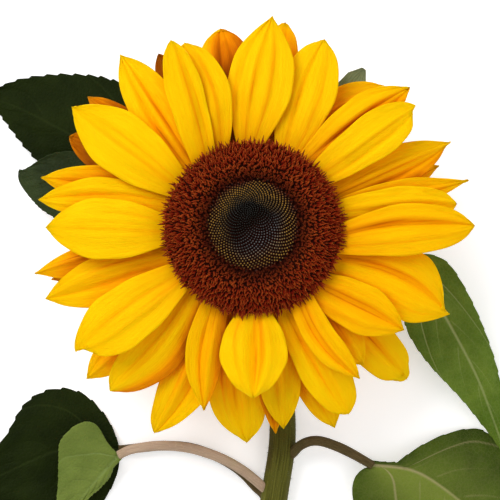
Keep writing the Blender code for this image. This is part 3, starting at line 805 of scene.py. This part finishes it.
GOLDEN_ANGLE = math.radians(137.50776)
SPIRAL_RADIUS = 29.8             # mm, the last floret
FLORETS_IN_SPIRAL = 3650
SPIRAL_POWER = 0.53              # a little over a half: the middle is packed closer
BUDS = 1050
CHAFF_FROM = 3330
FLORET_PARTS = 3
FACE_LIFT = 0.8                  # mm, how far the middle of the face sits above centre
FACE_DROP = 1.7                  # mm, how far the rim drops against the middle
FACE_FLAT = 0.035                # share by which the rim is squashed
PIT_RADIUS = 15.4                # mm, the dish in the middle of the face
PIT_SHIFT = (-0.8, 2.6)          # mm, how far its lowest point is off centre
FLORETS_DROPPED_FROM = 0.2       # metres, above everything


def face_outline(points):
    """The face is not quite round: flatter above, with its middle off centre."""
    warped = np.array(points)
    squared = warped[..., 0] ** 2 + warped[..., 1] ** 2
    share = squared / SPIRAL_RADIUS ** 2
    pit = np.clip(1 - squared / PIT_RADIUS ** 2, 0, 1) ** 2
    warped[..., 1] += FACE_LIFT - share * (FACE_DROP + FACE_FLAT * warped[..., 1])
    warped[..., 0] += PIT_SHIFT[0] * pit
    warped[..., 1] += PIT_SHIFT[1] * pit
    return warped


def tapered_stack(bm, rings, sides):
    """Rings given as (height, radius, tip value), skinned into a closed shape."""
    tip = bm.verts.layers.float["tip"]
    made = []
    for height, radius, value in rings:
        ring = []
        for i in range(sides):
            angle = i * 2 * math.pi / sides
            vert = bm.verts.new((radius * math.cos(angle), radius * math.sin(angle), height))
            vert[tip] = value
            ring.append(vert)
        made.append(ring)
    for lower, upper in zip(made, made[1:]):
        for i in range(sides):
            j = (i + 1) % sides
            bm.faces.new((lower[i], lower[j], upper[j], upper[i]))
    bm.faces.new(tuple(reversed(made[0])))
    bm.faces.new(made[-1])
    return made


def floret_shape(name, build):
    """Mesh object of one floret, with a tip value that is 0 at its foot and 1 on top."""
    bm = bmesh.new()
    bm.verts.layers.float.new("tip")
    build(bm)
    bmesh.ops.recalc_face_normals(bm, faces=bm.faces)
    mesh = bpy.data.meshes.new(name)
    bm.to_mesh(mesh)
    bm.free()
    mesh.shade_smooth()
    return bpy.data.objects.new(name, mesh)


def open_floret(bm):
    """Brown tube with five pointed lobes and two stigma arms that curl apart."""
    tip = bm.verts.layers.float["tip"]
    rim = tapered_stack(bm, ((0.0, 0.28, 0.0), (0.7, 0.20, 0.05), (1.1, 0.30, 0.25)), 5)[-1]
    for i in range(5):
        a, b = rim[i], rim[(i + 1) % 5]
        angle = (i + 0.5) * 2 * math.pi / 5
        point = bm.verts.new((0.48 * math.cos(angle), 0.48 * math.sin(angle), 1.36))
        inside = bm.verts.new((0.20 * math.cos(angle), 0.20 * math.sin(angle), 1.12))
        point[tip] = 0.6
        inside[tip] = 0.2
        bm.faces.new((a, b, point))
        bm.faces.new((b, inside, point))
        bm.faces.new((inside, a, point))
    for side in (-1, 1):
        previous = None
        for k, (x, z) in enumerate(((0.03, 1.0), (0.14, 1.60), (0.40, 1.95), (0.74, 1.92))):
            girth = (0.12, 0.11, 0.10, 0.04)[k]
            ring = []
            for turn in range(3):
                angle = turn * 2 * math.pi / 3
                vert = bm.verts.new((side * x + 0.7 * girth * math.cos(angle),
                                     girth * math.sin(angle), z))
                vert[tip] = 0.4 + 0.2 * k
                ring.append(vert)
            if previous:
                for i in range(3):
                    j = (i + 1) % 3
                    bm.faces.new((previous[i], previous[j], ring[j], ring[i]))
            else:
                bm.faces.new(ring)
            previous = ring
        bm.faces.new(previous)


def closed_floret(bm):
    """Bud: a five-sided pip with a pinched point."""
    tapered_stack(bm, ((0.0, 0.34, 0.0), (0.55, 0.46, 0.1), (0.95, 0.40, 0.35),
                       (1.24, 0.22, 0.85), (1.36, 0.06, 1.0)), 6)


def chaff_scale(bm):
    """Dry pointed scale from between the outermost florets."""
    tapered_stack(bm, ((0.0, 0.26, 0.0), (0.8, 0.26, 0.15), (1.6, 0.17, 0.45),
                       (2.4, 0.02, 0.9)), 4)


def face_places(tree, given, radius, angle):
    """Points of the spiral carried out to the face's outline, above the beds."""
    def maths(operation, *values):
        return math_of(tree, operation, *values)

    share = maths("DIVIDE", radius, SPIRAL_RADIUS * MM)
    flat = node(tree, "ShaderNodeCombineXYZ", {
        "X": maths("MULTIPLY", radius, maths("COSINE", angle)),
        "Y": maths("MULTIPLY", radius, maths("SINE", angle))}).outputs[0]
    up = node(tree, "ShaderNodeSeparateXYZ", {"Vector": flat}).outputs["Y"]
    drop = maths("MULTIPLY", maths("POWER", share, 2.0), maths(
        "ADD", FACE_DROP * MM, maths("MULTIPLY", up, FACE_FLAT)))
    depth = maths("POWER", maths("DIVIDE", radius, PIT_RADIUS * MM), 2.0)
    pit = maths("POWER", maths("MAXIMUM", maths("SUBTRACT", 1.0, depth), 0.0), 2.0)
    shift = node(tree, "ShaderNodeCombineXYZ", {
        "X": maths("ADD", HEAD[0], maths("MULTIPLY", pit, PIT_SHIFT[0] * MM)),
        "Y": maths("ADD", maths("SUBTRACT", HEAD[1] + FACE_LIFT * MM, drop),
                   maths("MULTIPLY", pit, PIT_SHIFT[1] * MM)),
        "Z": FLORETS_DROPPED_FROM}).outputs[0]
    points = node(tree, "GeometryNodePoints", {"Count": given["Count"]}).outputs[0]
    above = node(tree, "GeometryNodeSetPosition", {
        "Geometry": points, "Position": vector_of(tree, "ADD", flat, shift).outputs[0]})
    return above.outputs[0], vector_of(tree, "NORMALIZE", flat).outputs[0], share


def floret_tree(name, material):
    """Florets in a golden-angle spiral, standing on the surface of another object."""
    tree, given, result = geometry_tree(name, (
        ("First", "NodeSocketInt", 0), ("Count", "NodeSocketInt", 100),
        ("Size", "NodeSocketFloat", 0.001), ("Spread", "NodeSocketFloat", 0.2),
        ("Lean", "NodeSocketFloat", 0.5), ("Lean power", "NodeSocketFloat", 1.0),
        ("Spin", "NodeSocketFloat", 3.1),
        ("Ground", "NodeSocketObject", None), ("Floret", "NodeSocketObject", None)))

    def maths(operation, *values):
        return math_of(tree, operation, *values)

    def spread_by(reach, seed):
        """Random swing to both sides of zero, as wide as the spread makes it."""
        return maths("MULTIPLY", random_between(tree, -reach, reach, seed), given["Spread"])

    # Where each floret stands on the plan.
    index = node(tree, "GeometryNodeInputIndex").outputs[0]
    rank = maths("ADD", maths("ADD", index, given["First"]), 0.5)
    share = maths("DIVIDE", rank, FLORETS_IN_SPIRAL)
    angle = maths("MULTIPLY", rank, GOLDEN_ANGLE)
    radius = maths("MULTIPLY", maths("POWER", share, SPIRAL_POWER), SPIRAL_RADIUS * MM)
    radius = maths("MULTIPLY", radius, maths("ADD", 1.0, spread_by(0.018, 5)))
    radius = maths("MINIMUM", radius, SPIRAL_RADIUS * MM)
    above, outward, out = face_places(tree, given, radius, angle)

    # Dropped on to the bed, upright to it but leaning outwards.
    ray = node(tree, "GeometryNodeRaycast", {
        "Target Geometry": node(tree, "GeometryNodeObjectInfo", {
            "Object": given["Ground"]}).outputs["Geometry"],
        "Ray Direction": (0, 0, -1), "Ray Length": 1.0})
    lean = maths("MULTIPLY", given["Lean"], maths("POWER", out, given["Lean power"]))
    leaning = node(tree, "ShaderNodeVectorMath", {0: outward, "Scale": lean}, operation="SCALE")
    upright = vector_of(tree, "ADD", leaning.outputs[0], ray.outputs["Hit Normal"])
    marked = node(tree, "GeometryNodeStoreNamedAttribute", {
        "Geometry": above, "Name": "axis", "Value": upright.outputs[0]},
        data_type="FLOAT_VECTOR", domain="POINT")
    settled = node(tree, "GeometryNodeSetPosition", {
        "Geometry": marked.outputs[0], "Selection": ray.outputs["Is Hit"],
        "Position": ray.outputs["Hit Position"]})

    # Turned and sized a little differently each, with a tone of its own.
    axis = node(tree, "GeometryNodeInputNamedAttribute", {"Name": "axis"},
                data_type="FLOAT_VECTOR").outputs["Attribute"]
    aimed = node(tree, "FunctionNodeAlignRotationToVector", {"Vector": outward}, axis="X")
    facing = node(tree, "FunctionNodeAlignRotationToVector", {
        "Rotation": aimed.outputs[0], "Vector": axis}, axis="Z")
    spin = random_between(tree, maths("MULTIPLY", given["Spin"], -1.0), given["Spin"], 2)
    size = maths("MULTIPLY", given["Size"], maths("ADD", 1.0, spread_by(0.22, 6)))
    planted = node(tree, "GeometryNodeInstanceOnPoints", {
        "Points": settled.outputs[0],
        "Instance": node(tree, "GeometryNodeObjectInfo", {
            "Object": given["Floret"]}).outputs["Geometry"],
        "Rotation": lean_and_spin(tree, facing.outputs[0], spread_by(0.30, 8), spin),
        "Scale": maths("MULTIPLY", maths("POWER", share, SPIRAL_POWER - 0.5), size)})
    toned = node(tree, "GeometryNodeStoreNamedAttribute", {
        "Geometry": planted.outputs[0], "Name": "tone",
        "Value": random_between(tree, 0.0, 1.0, 11)}, data_type="FLOAT", domain="INSTANCE")
    return end_tree(tree, toned.outputs[0], material, result)


def distance_out(tree):
    """Distance from the head's centre line, in metres."""
    flat = vector_of(tree, "MULTIPLY", coordinates(tree), (1.0, 1.0, 0.0)).outputs[0]
    return vector_of(tree, "DISTANCE", flat, tuple(HEAD)).outputs["Value"]


# The beds the florets stand in: a dark raised ring and a dish inside it.
bed_finish, tree, shader = finish("floret_bed", roughness=0.9, shine=0.05)
bed_noise = noise_on(tree, coordinates(tree), 900.0)
paint(tree, shader, blend_colours(tree, bed_noise, (0.008, 0.002, 0.001),
                                  (0.040, 0.006, 0.002)))
raise_bumps(tree, shader, bed_noise, 0.0005)
ring_bed = face_outline(turned_rings((
    (15.2, 45.2), (15.4, 49.3), (18.2, 51.0), (21.8, 52.2), (25.3, 51.6), (28.0, 50.0),
    (29.9, 48.2), (28.6, 46.8), (26.6, 44.7))))
ring_bed = place("disc_ring_bed", grid_mesh(
    "disc_ring_bed", np.vstack([ring_bed, ring_bed[:1]])[:, ::-1], wrap=True),
    bed_finish, "open_florets", "disc_ring")
centre_bed = face_outline(turned_rings((
    (0.2, 45.9), (1.6, 46.3), (4.5, 47.6), (8.0, 49.0), (11.5, 49.9), (14.0, 50.1),
    (15.6, 49.4), (15.7, 45.6), (8.0, 45.3), (0.2, 45.3))))
centre_bed = place("disc_centre_bed", grid_mesh(
    "disc_centre_bed", centre_bed[:, ::-1], wrap=True, ends=(True, True)),
    bed_finish, "bud_florets", "disc_centre")

# Open florets: velvety and darker low down, with painted shade next to the buds where the ring's
# shadow falls on its inner edge, and lighter at their tips, partly their own colour and partly
# painted light.
brown, tree, shader = finish("floret_brown", roughness=0.7, shine=0.08)
tone = mark_of(tree, "tone")
grain = noise_on(tree, coordinates(tree), 420.0)
low_colour = blend_colours(tree, tone, (0.185, 0.006, 0.001), (0.300, 0.016, 0.002))
mixed_tone = math_of(tree, "MULTIPLY", math_of(tree, "ADD", tone, remap(tree, grain, 0.3, 0.7)), 0.5)
high_colour = blend_colours(tree, mixed_tone, (0.41, 0.026, 0.004), (0.66, 0.165, 0.022))
floret_colour = blend_colours(tree, remap(tree, mark_of(tree, "tip"), 0.15, 0.9), low_colour,
                              high_colour)
uneven_out = math_of(tree, "ADD", distance_out(tree), math_of(tree, "MULTIPLY", grain, 0.004))
# Painted shade: a dark band at the inner edge of the ring, next to the buds.
painted_inner_shade = remap(tree, uneven_out, 0.0180, 0.0235, 0.85, 0.0)
paint(tree, shader, blend_colours(tree, painted_inner_shade, floret_colour, (0.030, 0.003, 0.001)))

chaff_finish, tree, shader = finish("chaff_red", roughness=0.6, shine=0.1)
paint(tree, shader, blend_colours(tree, mark_of(tree, "tone"), (0.110, 0.006, 0.001),
                                  (0.290, 0.026, 0.003)))

# Buds: nearly black and glossy in the middle, where the tips on one side carry a painted
# silvery reflection of the light, and dull with ochre tips further out.
black, tree, shader = finish("floret_bud", roughness=0.4, shine=0.36)
patches = noise_on(tree, coordinates(tree), 130.0, 2.0)
out = math_of(tree, "ADD", distance_out(tree), swing(tree, patches, 0.006))
from_middle = vector_of(tree, "SUBTRACT", coordinates(tree), tuple(HEAD)).outputs[0]
# Painted reflection: the tips towards the lower right are painted silvery grey.
glint_side = vector_of(tree, "DOT_PRODUCT", from_middle, (0.6, -0.8, 0.0)).outputs["Value"]
glint_colour = blend_colours(tree, remap(tree, glint_side, -0.001, 0.006), (0.008, 0.007, 0.004),
                       (0.165, 0.160, 0.160))
ochre = blend_colours(tree, remap(tree, out, 0.0080, 0.0125), glint_colour, (0.40, 0.20, 0.018))
tip_colour = blend_colours(tree, remap(tree, out, 0.0140, 0.0160), ochre, (0.16, 0.030, 0.006))
dark = blend_colours(tree, remap(tree, out, 0.012, 0.0165), (0.005, 0.004, 0.002),
                     (0.022, 0.005, 0.002))
tip_tone_and_glint = math_of(tree, "MULTIPLY", remap(tree, mark_of(tree, "tip"), 0.5, 0.95),
                  remap(tree, mark_of(tree, "tone"), 0.0, 0.7, 0.35, 1.0))
paint(tree, shader, blend_colours(tree, tip_tone_and_glint, dark, tip_colour))
tree.links.new(remap(tree, out, 0.007, 0.011, 0.26, 0.85), shader.inputs["Roughness"])

spiral_start = bpy.data.meshes.new("spiral_start")


def plant(name, tree, material, slot, values):
    """Grow one lot of florets along the spiral and put them in the scene."""
    place(name, grow(name, spiral_start.copy(), tree, values), material, slot)


plant("disc_buds", floret_tree("Buds", black), black, "bud_florets", {
    "First": 0, "Count": BUDS, "Size": 0.00088, "Spread": 0.25, "Lean": -0.25,
    "Ground": centre_bed, "Floret": floret_shape("closed_floret_shape", closed_floret)})
open_tree = floret_tree("Open florets", brown)
open_shape = floret_shape("open_floret_shape", open_floret)
share = (FLORETS_IN_SPIRAL - BUDS) // FLORET_PARTS
for part in range(FLORET_PARTS):
    plant(f"disc_florets_{part + 1}", open_tree, brown, "open_florets", {
        "First": BUDS + part * share, "Count": share, "Size": 0.00094, "Spread": 1.2,
        "Lean": 1.0, "Lean power": 2.2, "Spin": 0.9, "Ground": ring_bed,
        "Floret": open_shape})
plant("disc_chaff", floret_tree("Chaff", chaff_finish), chaff_finish, "open_florets", {
    "First": CHAFF_FROM, "Count": FLORETS_IN_SPIRAL - CHAFF_FROM, "Size": 0.00096,
    "Spread": 2.0, "Lean": 1.6, "Lean power": 2.0, "Ground": ring_bed,
    "Floret": floret_shape("chaff_shape", chaff_scale)})

# --- Leaves and stalks --------------------------------------------------------------
# Rough green leaves on long stalks. Each blade has a pale midrib and curved side veins,
# puckered skin between them and a saw-toothed edge; a stalk is grooved on top and
# purple-brown where the sun caught it.

# midrib: points along it. left, right: half width of that side, where along the midrib it
# starts and is widest, how it tapers, how steeply it rises outwards, and how far its lobe
# sweeps back. teeth: depth of the saw teeth. lit: how much the left and right side glow.
BLADES = {
    "leaf_upper_left": dict(
        midrib=((-29.1, 13.6, 12.0), (-47.0, 24.0, 9.0), (-66.0, 33.5, 5.5),
                (-84.0, 42.5, 2.4), (-97.5, 46.5, 0.6)),
        left=(17.0, -0.05, 0.32, 1.5, -0.12, 4.0),
        right=(24.0, -0.05, 0.36, 1.45, -0.12, 4.0), teeth=0.9, tone="dark"),
    "leaf_left": dict(
        midrib=((-35.0, -1.4, 14.0), (-52.0, 8.0, 14.6), (-69.5, 16.8, 12.8),
                (-81.8, 19.6, 10.5)),
        left=(12.5, -0.02, 0.50, 0.48, -0.08, 0.0),
        right=(13.5, -0.02, 0.46, 1.5, 0.0, 0.0), teeth=0.3, tone="grey"),
    "leaf_right": dict(
        midrib=((50.9, -11.2, 16.8), (60.5, -21.0, 15.5), (70.5, -37.5, 12.5),
                (79.0, -54.0, 10.0), (85.8, -72.0, 8.0), (91.0, -86.0, 6.5)),
        left=(11.2, -0.10, 0.20, 1.15, -0.12, 0.0),
        right=(14.2, -0.05, 0.33, 2.0, 0.06, 0.0), teeth=0.35, tone="bright"),
    "leaf_lower_right": dict(
        midrib=((41.3, -83.5, 7.9), (55.4, -85.4, 6.8), (66.0, -91.2, 5.6),
                (78.0, -101.0, 4.4), (92.0, -114.0, 2.6), (108.0, -128.0, 0.6)),
        left=(25.0, 0.13, 0.45, 0.9, -0.15, 4.0),
        right=(26.0, -0.03, 0.32, 1.2, -0.18, 15.0), teeth=0.5, tone="middle",
        lit=(0.35, 0.75)),
    "leaf_lower_left": dict(
        midrib=((-46.8, -79.9, 9.0), (-54.1, -88.0, 8.6), (-60.8, -96.0, 7.6),
                (-74.0, -115.0, 5.2)),
        left=(3.0, 0.0, 0.3, 1.5, -0.2, 0.0),
        right=(18.8, -0.17, 0.22, 1.5, 0.18, 5.5), teeth=0.25, tone="pale"),
    "leaf_back_left": dict(
        midrib=((-46.9, -78.5, 2.8), (-58.0, -77.8, 2.4), (-69.0, -78.8, 2.2),
                (-80.0, -83.3, 2.0), (-98.0, -92.0, 1.2), (-116.0, -101.0, 0.6)),
        left=(23.0, -0.08, 0.28, 1.6, -0.05, 5.0),
        right=(21.5, -0.04, 0.36, 2.6, -0.05, 4.0), teeth=0.8, tone="dark"),
}
BLADE_ROWS = 150
BLADE_HALF_COLUMNS = 42
BLADE_SEEN_THICKNESS = 0.45
BLADE_CLEARANCE = 0.3            # mm, a blade's middle surface above the table at least
BLADE_FOOT_HALF_WIDTH = 1.6
BLADE_TIP_HALF_WIDTH = 0.3
TEETH_ALONG = 19
VEIN_PAIRS = 6
VEIN_SWEEP = 0.34                # how far forward a side vein runs, as a share of the midrib
VEIN_HALF_WIDTH = 0.075          # as a share of the space between two side veins
MIDRIB_HALF_WIDTH = 0.7


def blade_side(t, side):
    """Half width and backward sweep of one side of a blade at t."""
    width, start, widest, taper, _, lobe = side
    if t < widest:
        x = max((t - start) / (widest - start), 0.0)
        half, back = width * x * x * (3 - 2 * x), lobe * 4 * (t / widest) * (1 - t / widest)
    else:
        fall = max(math.cos(math.pi / 2 * (t - widest) / (1 - widest)), 0.0)
        half, back = width * fall ** taper, 0.0
    narrowest = BLADE_FOOT_HALF_WIDTH + (BLADE_TIP_HALF_WIDTH - BLADE_FOOT_HALF_WIDTH) * t
    return max(half, narrowest), back


def vein_relief(t, s):
    """Depth of the side veins: a strong pair from the foot, then weaker ones in turn."""
    curve = VEIN_SWEEP * abs(s) ** 1.2
    along = (t - curve) * VEIN_PAIRS + (0.42 if s < 0 else 0.0)
    off = abs(along - round(along))
    side = math.exp(-(off / VEIN_HALF_WIDTH) ** 2) * (1 - 0.55 * abs(s))
    side = side if t - curve > 0.12 else 0.0
    first = math.exp(-((t - 0.52 * abs(s) ** 1.1 - 0.01) / 0.015) ** 2) * (1 - 0.5 * abs(s))
    return max(0.6 * side, 1.2 * first)


def blade_points(leaf, phase):
    """Rows of points over a blade, with how much vein and glow each point has."""
    path = smooth_route(leaf["midrib"], BLADE_ROWS)
    ahead = np.gradient(path, axis=0)[:, :2]
    ahead /= np.linalg.norm(ahead, axis=1)[:, None]
    rows, veins, lights = [], [], []
    for i, middle in enumerate(path):
        t = i / (BLADE_ROWS - 1)
        left = np.array([-ahead[i][1], ahead[i][0]])
        row, vein_row, lit_row = [], [], []
        for s in np.linspace(1, -1, 2 * BLADE_HALF_COLUMNS + 1):
            side = leaf["left"] if s > 0 else leaf["right"]
            half, back = blade_side(t, side)
            saw = leaf["teeth"] * ((t * TEETH_ALONG + phase) % 1.0 - 0.5) * abs(s) ** 8
            half += saw * min(1.0, 6 * t, 5 * (1 - t))
            flat = middle[:2] + left * half * s - ahead[i] * back * abs(s) ** 1.5
            vein = vein_relief(t, s)
            rib = math.exp(-(s * half / MIDRIB_HALF_WIDTH) ** 2) * (1 - 0.7 * t)
            z = middle[2] + side[4] * half * abs(s)
            z += 0.9 * math.sin(7 * t + 4 * s + phase) * abs(s) ** 2 * min(1, 4 * t)
            pucker = math.sin(2 * math.pi * (t - VEIN_SWEEP * abs(s) ** 1.2) * VEIN_PAIRS)
            z += 0.5 * pucker * abs(s) * (1 - abs(s)) - 0.20 * vein - 0.35 * rib
            row.append((flat[0], flat[1], max(z, BLADE_CLEARANCE + 0.1 * vein)))
            vein_row.append(max(vein * min(1.0, 8 * abs(s)) * 0.8, rib))
            lit = leaf.get("lit", (0.0, 0.0))[0 if s > 0 else 1]
            lit_row.append(lit * math.exp(-((abs(s) - 0.1) / 0.55) ** 2) * (1 - 0.6 * t))
        rows.append(row)
        veins.append(vein_row)
        lights.append(lit_row)
    return np.array(rows), np.array(veins), np.array(lights)


def leaf_finish(name, deep, green, vein_colour, roughness, shine):
    """Rough leaf skin: cloudy green, paler veins and a netted, puckered surface."""
    material, tree, shader = finish(name, roughness=roughness, shine=shine)
    let_light_in(shader, 0.08, (0.3, 0.6, 0.1), 0.001)
    where = coordinates(tree)
    clouds = noise_on(tree, where, 48.0, 4.0, 0.6)
    net = node(tree, "ShaderNodeTexVoronoi", {"Vector": where, "Scale": 780.0},
               feature="DISTANCE_TO_EDGE").outputs["Distance"]
    hairs = noise_on(tree, where, 2200.0, 2.0)
    veined = remap(tree, mark_of(tree, "vein"), 0.25, 0.9, 0.0, 0.75)
    colour = blend_colours(tree, remap(tree, clouds, 0.35, 0.68), deep, green)
    colour = blend_colours(tree, mark_of(tree, "lit"), colour, (0.24, 0.30, 0.045))
    colour = blend_colours(tree, remap(tree, net, 0.0, 0.12, 0.06, 0.0), colour, vein_colour)
    colour = blend_colours(tree, veined, colour, vein_colour)
    paint(tree, shader, colour)
    relief = math_of(tree, "ADD", remap(tree, net, 0.0, 0.3),
                     math_of(tree, "MULTIPLY", hairs, 0.5))
    raise_bumps(tree, shader, relief, 0.00010)
    return material


# The dark tone is painted shade: the two leaves lying in shadow get a green far darker than a leaf's
# own.
LEAF_TONES = {                   # deep green, lighter green, veins, roughness, shine
    "dark": ((0.006, 0.010, 0.0015), (0.014, 0.022, 0.003), (0.026, 0.038, 0.008), 0.55, 0.03),
    "grey": ((0.012, 0.020, 0.004), (0.034, 0.052, 0.014), (0.045, 0.062, 0.020), 0.6, 0.1),
    "bright": ((0.075, 0.130, 0.010), (0.150, 0.220, 0.026), (0.44, 0.46, 0.20), 0.5, 0.06),
    "middle": ((0.022, 0.040, 0.003), (0.062, 0.100, 0.008), (0.40, 0.34, 0.17), 0.5, 0.06),
    "pale": ((0.100, 0.140, 0.022), (0.160, 0.210, 0.038), (0.19, 0.25, 0.07), 0.6, 0.1),
}
leaf_skins = {tone: leaf_finish(f"leaf_{tone}", *looks) for tone, looks in LEAF_TONES.items()}
for phase, (name, leaf) in enumerate(BLADES.items()):
    points, *shares = blade_points(leaf, 1.3 * phase)
    mesh = grid_mesh(f"{name}_blade", points)
    for label, share in zip(("vein", "lit"), shares):
        mark_mesh(mesh, label, share)
    thicken(place(f"{name}_blade", mesh, leaf_skins[leaf["tone"]], "leaf", name),
            BLADE_SEEN_THICKNESS)

STALK_ROUTES = {
    "stalk_upper_left": ((2.6, -34.6, 5.2), (-0.2, -34.0, 6.5), (-7.0, -28.5, 9.0),
                         (-16.0, -10.0, 11.5), (-24.0, 5.0, 12.4), (-29.4, 13.8, 11.9)),
    "stalk_left": ((5.6, -50.4, 5.4), (2.8, -50.0, 6.5), (-6.0, -44.5, 9.5),
                   (-20.0, -26.0, 13.2), (-29.0, -10.0, 14.5), (-35.2, -1.3, 14.0)),
    "stalk_right": ((10.8, -42.4, 5.6), (14.2, -42.0, 7.0), (20.5, -37.0, 11.0),
                    (32.0, -21.0, 16.0), (41.0, -11.4, 18.2), (47.0, -8.8, 17.8),
                    (51.2, -11.4, 16.8)),
    "stalk_lower_right": ((12.2, -80.8, 5.4), (14.0, -79.4, 7.2), (16.4, -76.8, 9.8),
                          (20.1, -75.0, 12.4), (24.2, -75.0, 13.6), (29.5, -76.8, 13.2),
                          (34.8, -79.5, 11.0), (41.8, -83.6, 8.0)),
    "stalk_lower_left": ((6.0, -93.2, 5.0), (3.6, -91.4, 6.2), (0.6, -88.6, 8.0),
                         (-3.1, -85.6, 9.8), (-8.4, -82.3, 11.6), (-14.7, -79.5, 13.0),
                         (-23.1, -77.1, 13.8), (-32.5, -76.5, 13.0), (-41.9, -77.8, 10.6),
                         (-47.0, -80.0, 9.0)),
    "stalk_back_left": ((4.4, -94.0, 3.2), (1.5, -92.0, 2.6), (-3.2, -87.0, 2.4),
                        (-8.4, -83.2, 2.4), (-14.8, -80.1, 2.4), (-23.2, -77.6, 2.5),
                        (-32.7, -77.1, 2.6), (-42.2, -78.1, 2.8), (-47.2, -78.5, 2.8)),
}
STALK_RADIUS = 1.75
STALK_ROWS = 110
STALK_SIDES = 24
PALE_STALK = "stalk_lower_left"


def stalk_section(angle, t):
    """Round below, with a groove along the top."""
    groove = 0.22 * math.exp(-(math.sin(angle / 2) / 0.26) ** 2)
    return 1.0 - groove + 0.02 * math.sin(5 * angle + 12 * t)


stalk_skin = stem_finish("stalk_skin", body=(0.15, 0.105, 0.042), shade=(0.050, 0.032, 0.011),
                         blush=(0.090, 0.090, 0.022))
stalk_pale = stem_finish("stalk_pale", body=(0.52, 0.38, 0.26), shade=(0.36, 0.24, 0.165),
                         blush=(0.36, 0.29, 0.15))
for seed, (name, route) in enumerate(STALK_ROUTES.items()):
    path = smooth_route(route, STALK_ROWS)
    along = np.linspace(0, 1, STALK_ROWS)
    flare = 1 + 0.45 * np.exp(-(along / 0.05) ** 2) - 0.12 * np.clip((along - 0.8) / 0.2, 0, 1)
    rings = tube_points(path, STALK_RADIUS * flare, STALK_SIDES, stalk_section)
    place(f"{name}_rod", grid_mesh(f"{name}_rod", rings, wrap=True, ends=(True, True)),
          stalk_pale if name == PALE_STALK else stalk_skin, "stem", name)
    bristles_on(f"{name}_bristles", grid_mesh(f"{name}_copy", rings[6:-4], wrap=True),
                "stem", density=380000.0, length=0.0007, seed=seed)

# --- Table, light and camera --------------------------------------------------------
# Not part of the flower: a plain pale surface, glowing a little to lift shadows off it, a
# broad soft light from the upper left, a weaker one opposite, and a camera that looks straight down
# on the face.

TABLE_REACH = 3.0
TABLE_GLOW = 0.38                # light of its own, so the flower's shadows on the table come out near white
table_mesh = bpy.data.meshes.new("table")
table_mesh.from_pydata([(TABLE_REACH * x, TABLE_REACH * y, 0)
                        for x, y in ((-1, -1), (1, -1), (1, 1), (-1, 1))], [], [(0, 1, 2, 3)])
table_finish, tree, shader = finish("table_white", roughness=0.9)
table_grain = noise_on(tree, coordinates(tree), 6.0)
paint(tree, shader, blend_colours(tree, table_grain, (0.93, 0.93, 0.93), (0.96, 0.96, 0.96)))
shader.inputs["Emission Color"].default_value = (1.0, 1.0, 1.0, 1.0)
shader.inputs["Emission Strength"].default_value = TABLE_GLOW
table_mesh.materials.append(table_finish)
table = bpy.data.objects.new("table", table_mesh)
bpy.context.collection.objects.link(table)


def soft_light(name, position, size, power):
    """Square softbox, placed from the flower's middle in metres and aimed at it."""
    lamp = bpy.data.lights.new(name, "AREA")
    lamp.size = size
    lamp.energy = power
    box = bpy.data.objects.new(name, lamp)
    bpy.context.collection.objects.link(box)
    box.location = Vector((HEAD[0], HEAD[1], 0.03)) + Vector(position)
    box.rotation_euler = (-Vector(position)).to_track_quat("-Z", "Y").to_euler()


soft_light("key_light", (-0.55, 0.55, 0.85), size=0.75, power=10.0)
soft_light("fill_light", (0.8, -0.3, 0.9), size=0.9, power=3.0)
world = bpy.data.worlds.new("studio")
world.use_nodes = True
world.node_tree.nodes["Background"].inputs["Color"].default_value = (1.0, 1.0, 1.0, 1.0)
world.node_tree.nodes["Background"].inputs["Strength"].default_value = 0.6
scene = bpy.context.scene
scene.world = world
scene.view_settings.view_transform = "Standard"

VIEW_WIDTH = 0.170               # what the picture spans at the height of the petals
VIEW_SHIFT = (-1.0, -8.2)        # mm, the picture's middle against the middle of the disc
PETAL_PLANE = 0.045
VIEW_HEIGHT = 1.2
lens = bpy.data.cameras.new("camera")
lens.sensor_width = 36.0
lens.lens = lens.sensor_width * VIEW_HEIGHT / VIEW_WIDTH
camera = bpy.data.objects.new("camera", lens)
bpy.context.collection.objects.link(camera)
camera.location = (HEAD[0] + VIEW_SHIFT[0] * MM, HEAD[1] + VIEW_SHIFT[1] * MM,
                   PETAL_PLANE + VIEW_HEIGHT)
scene.camera = camera
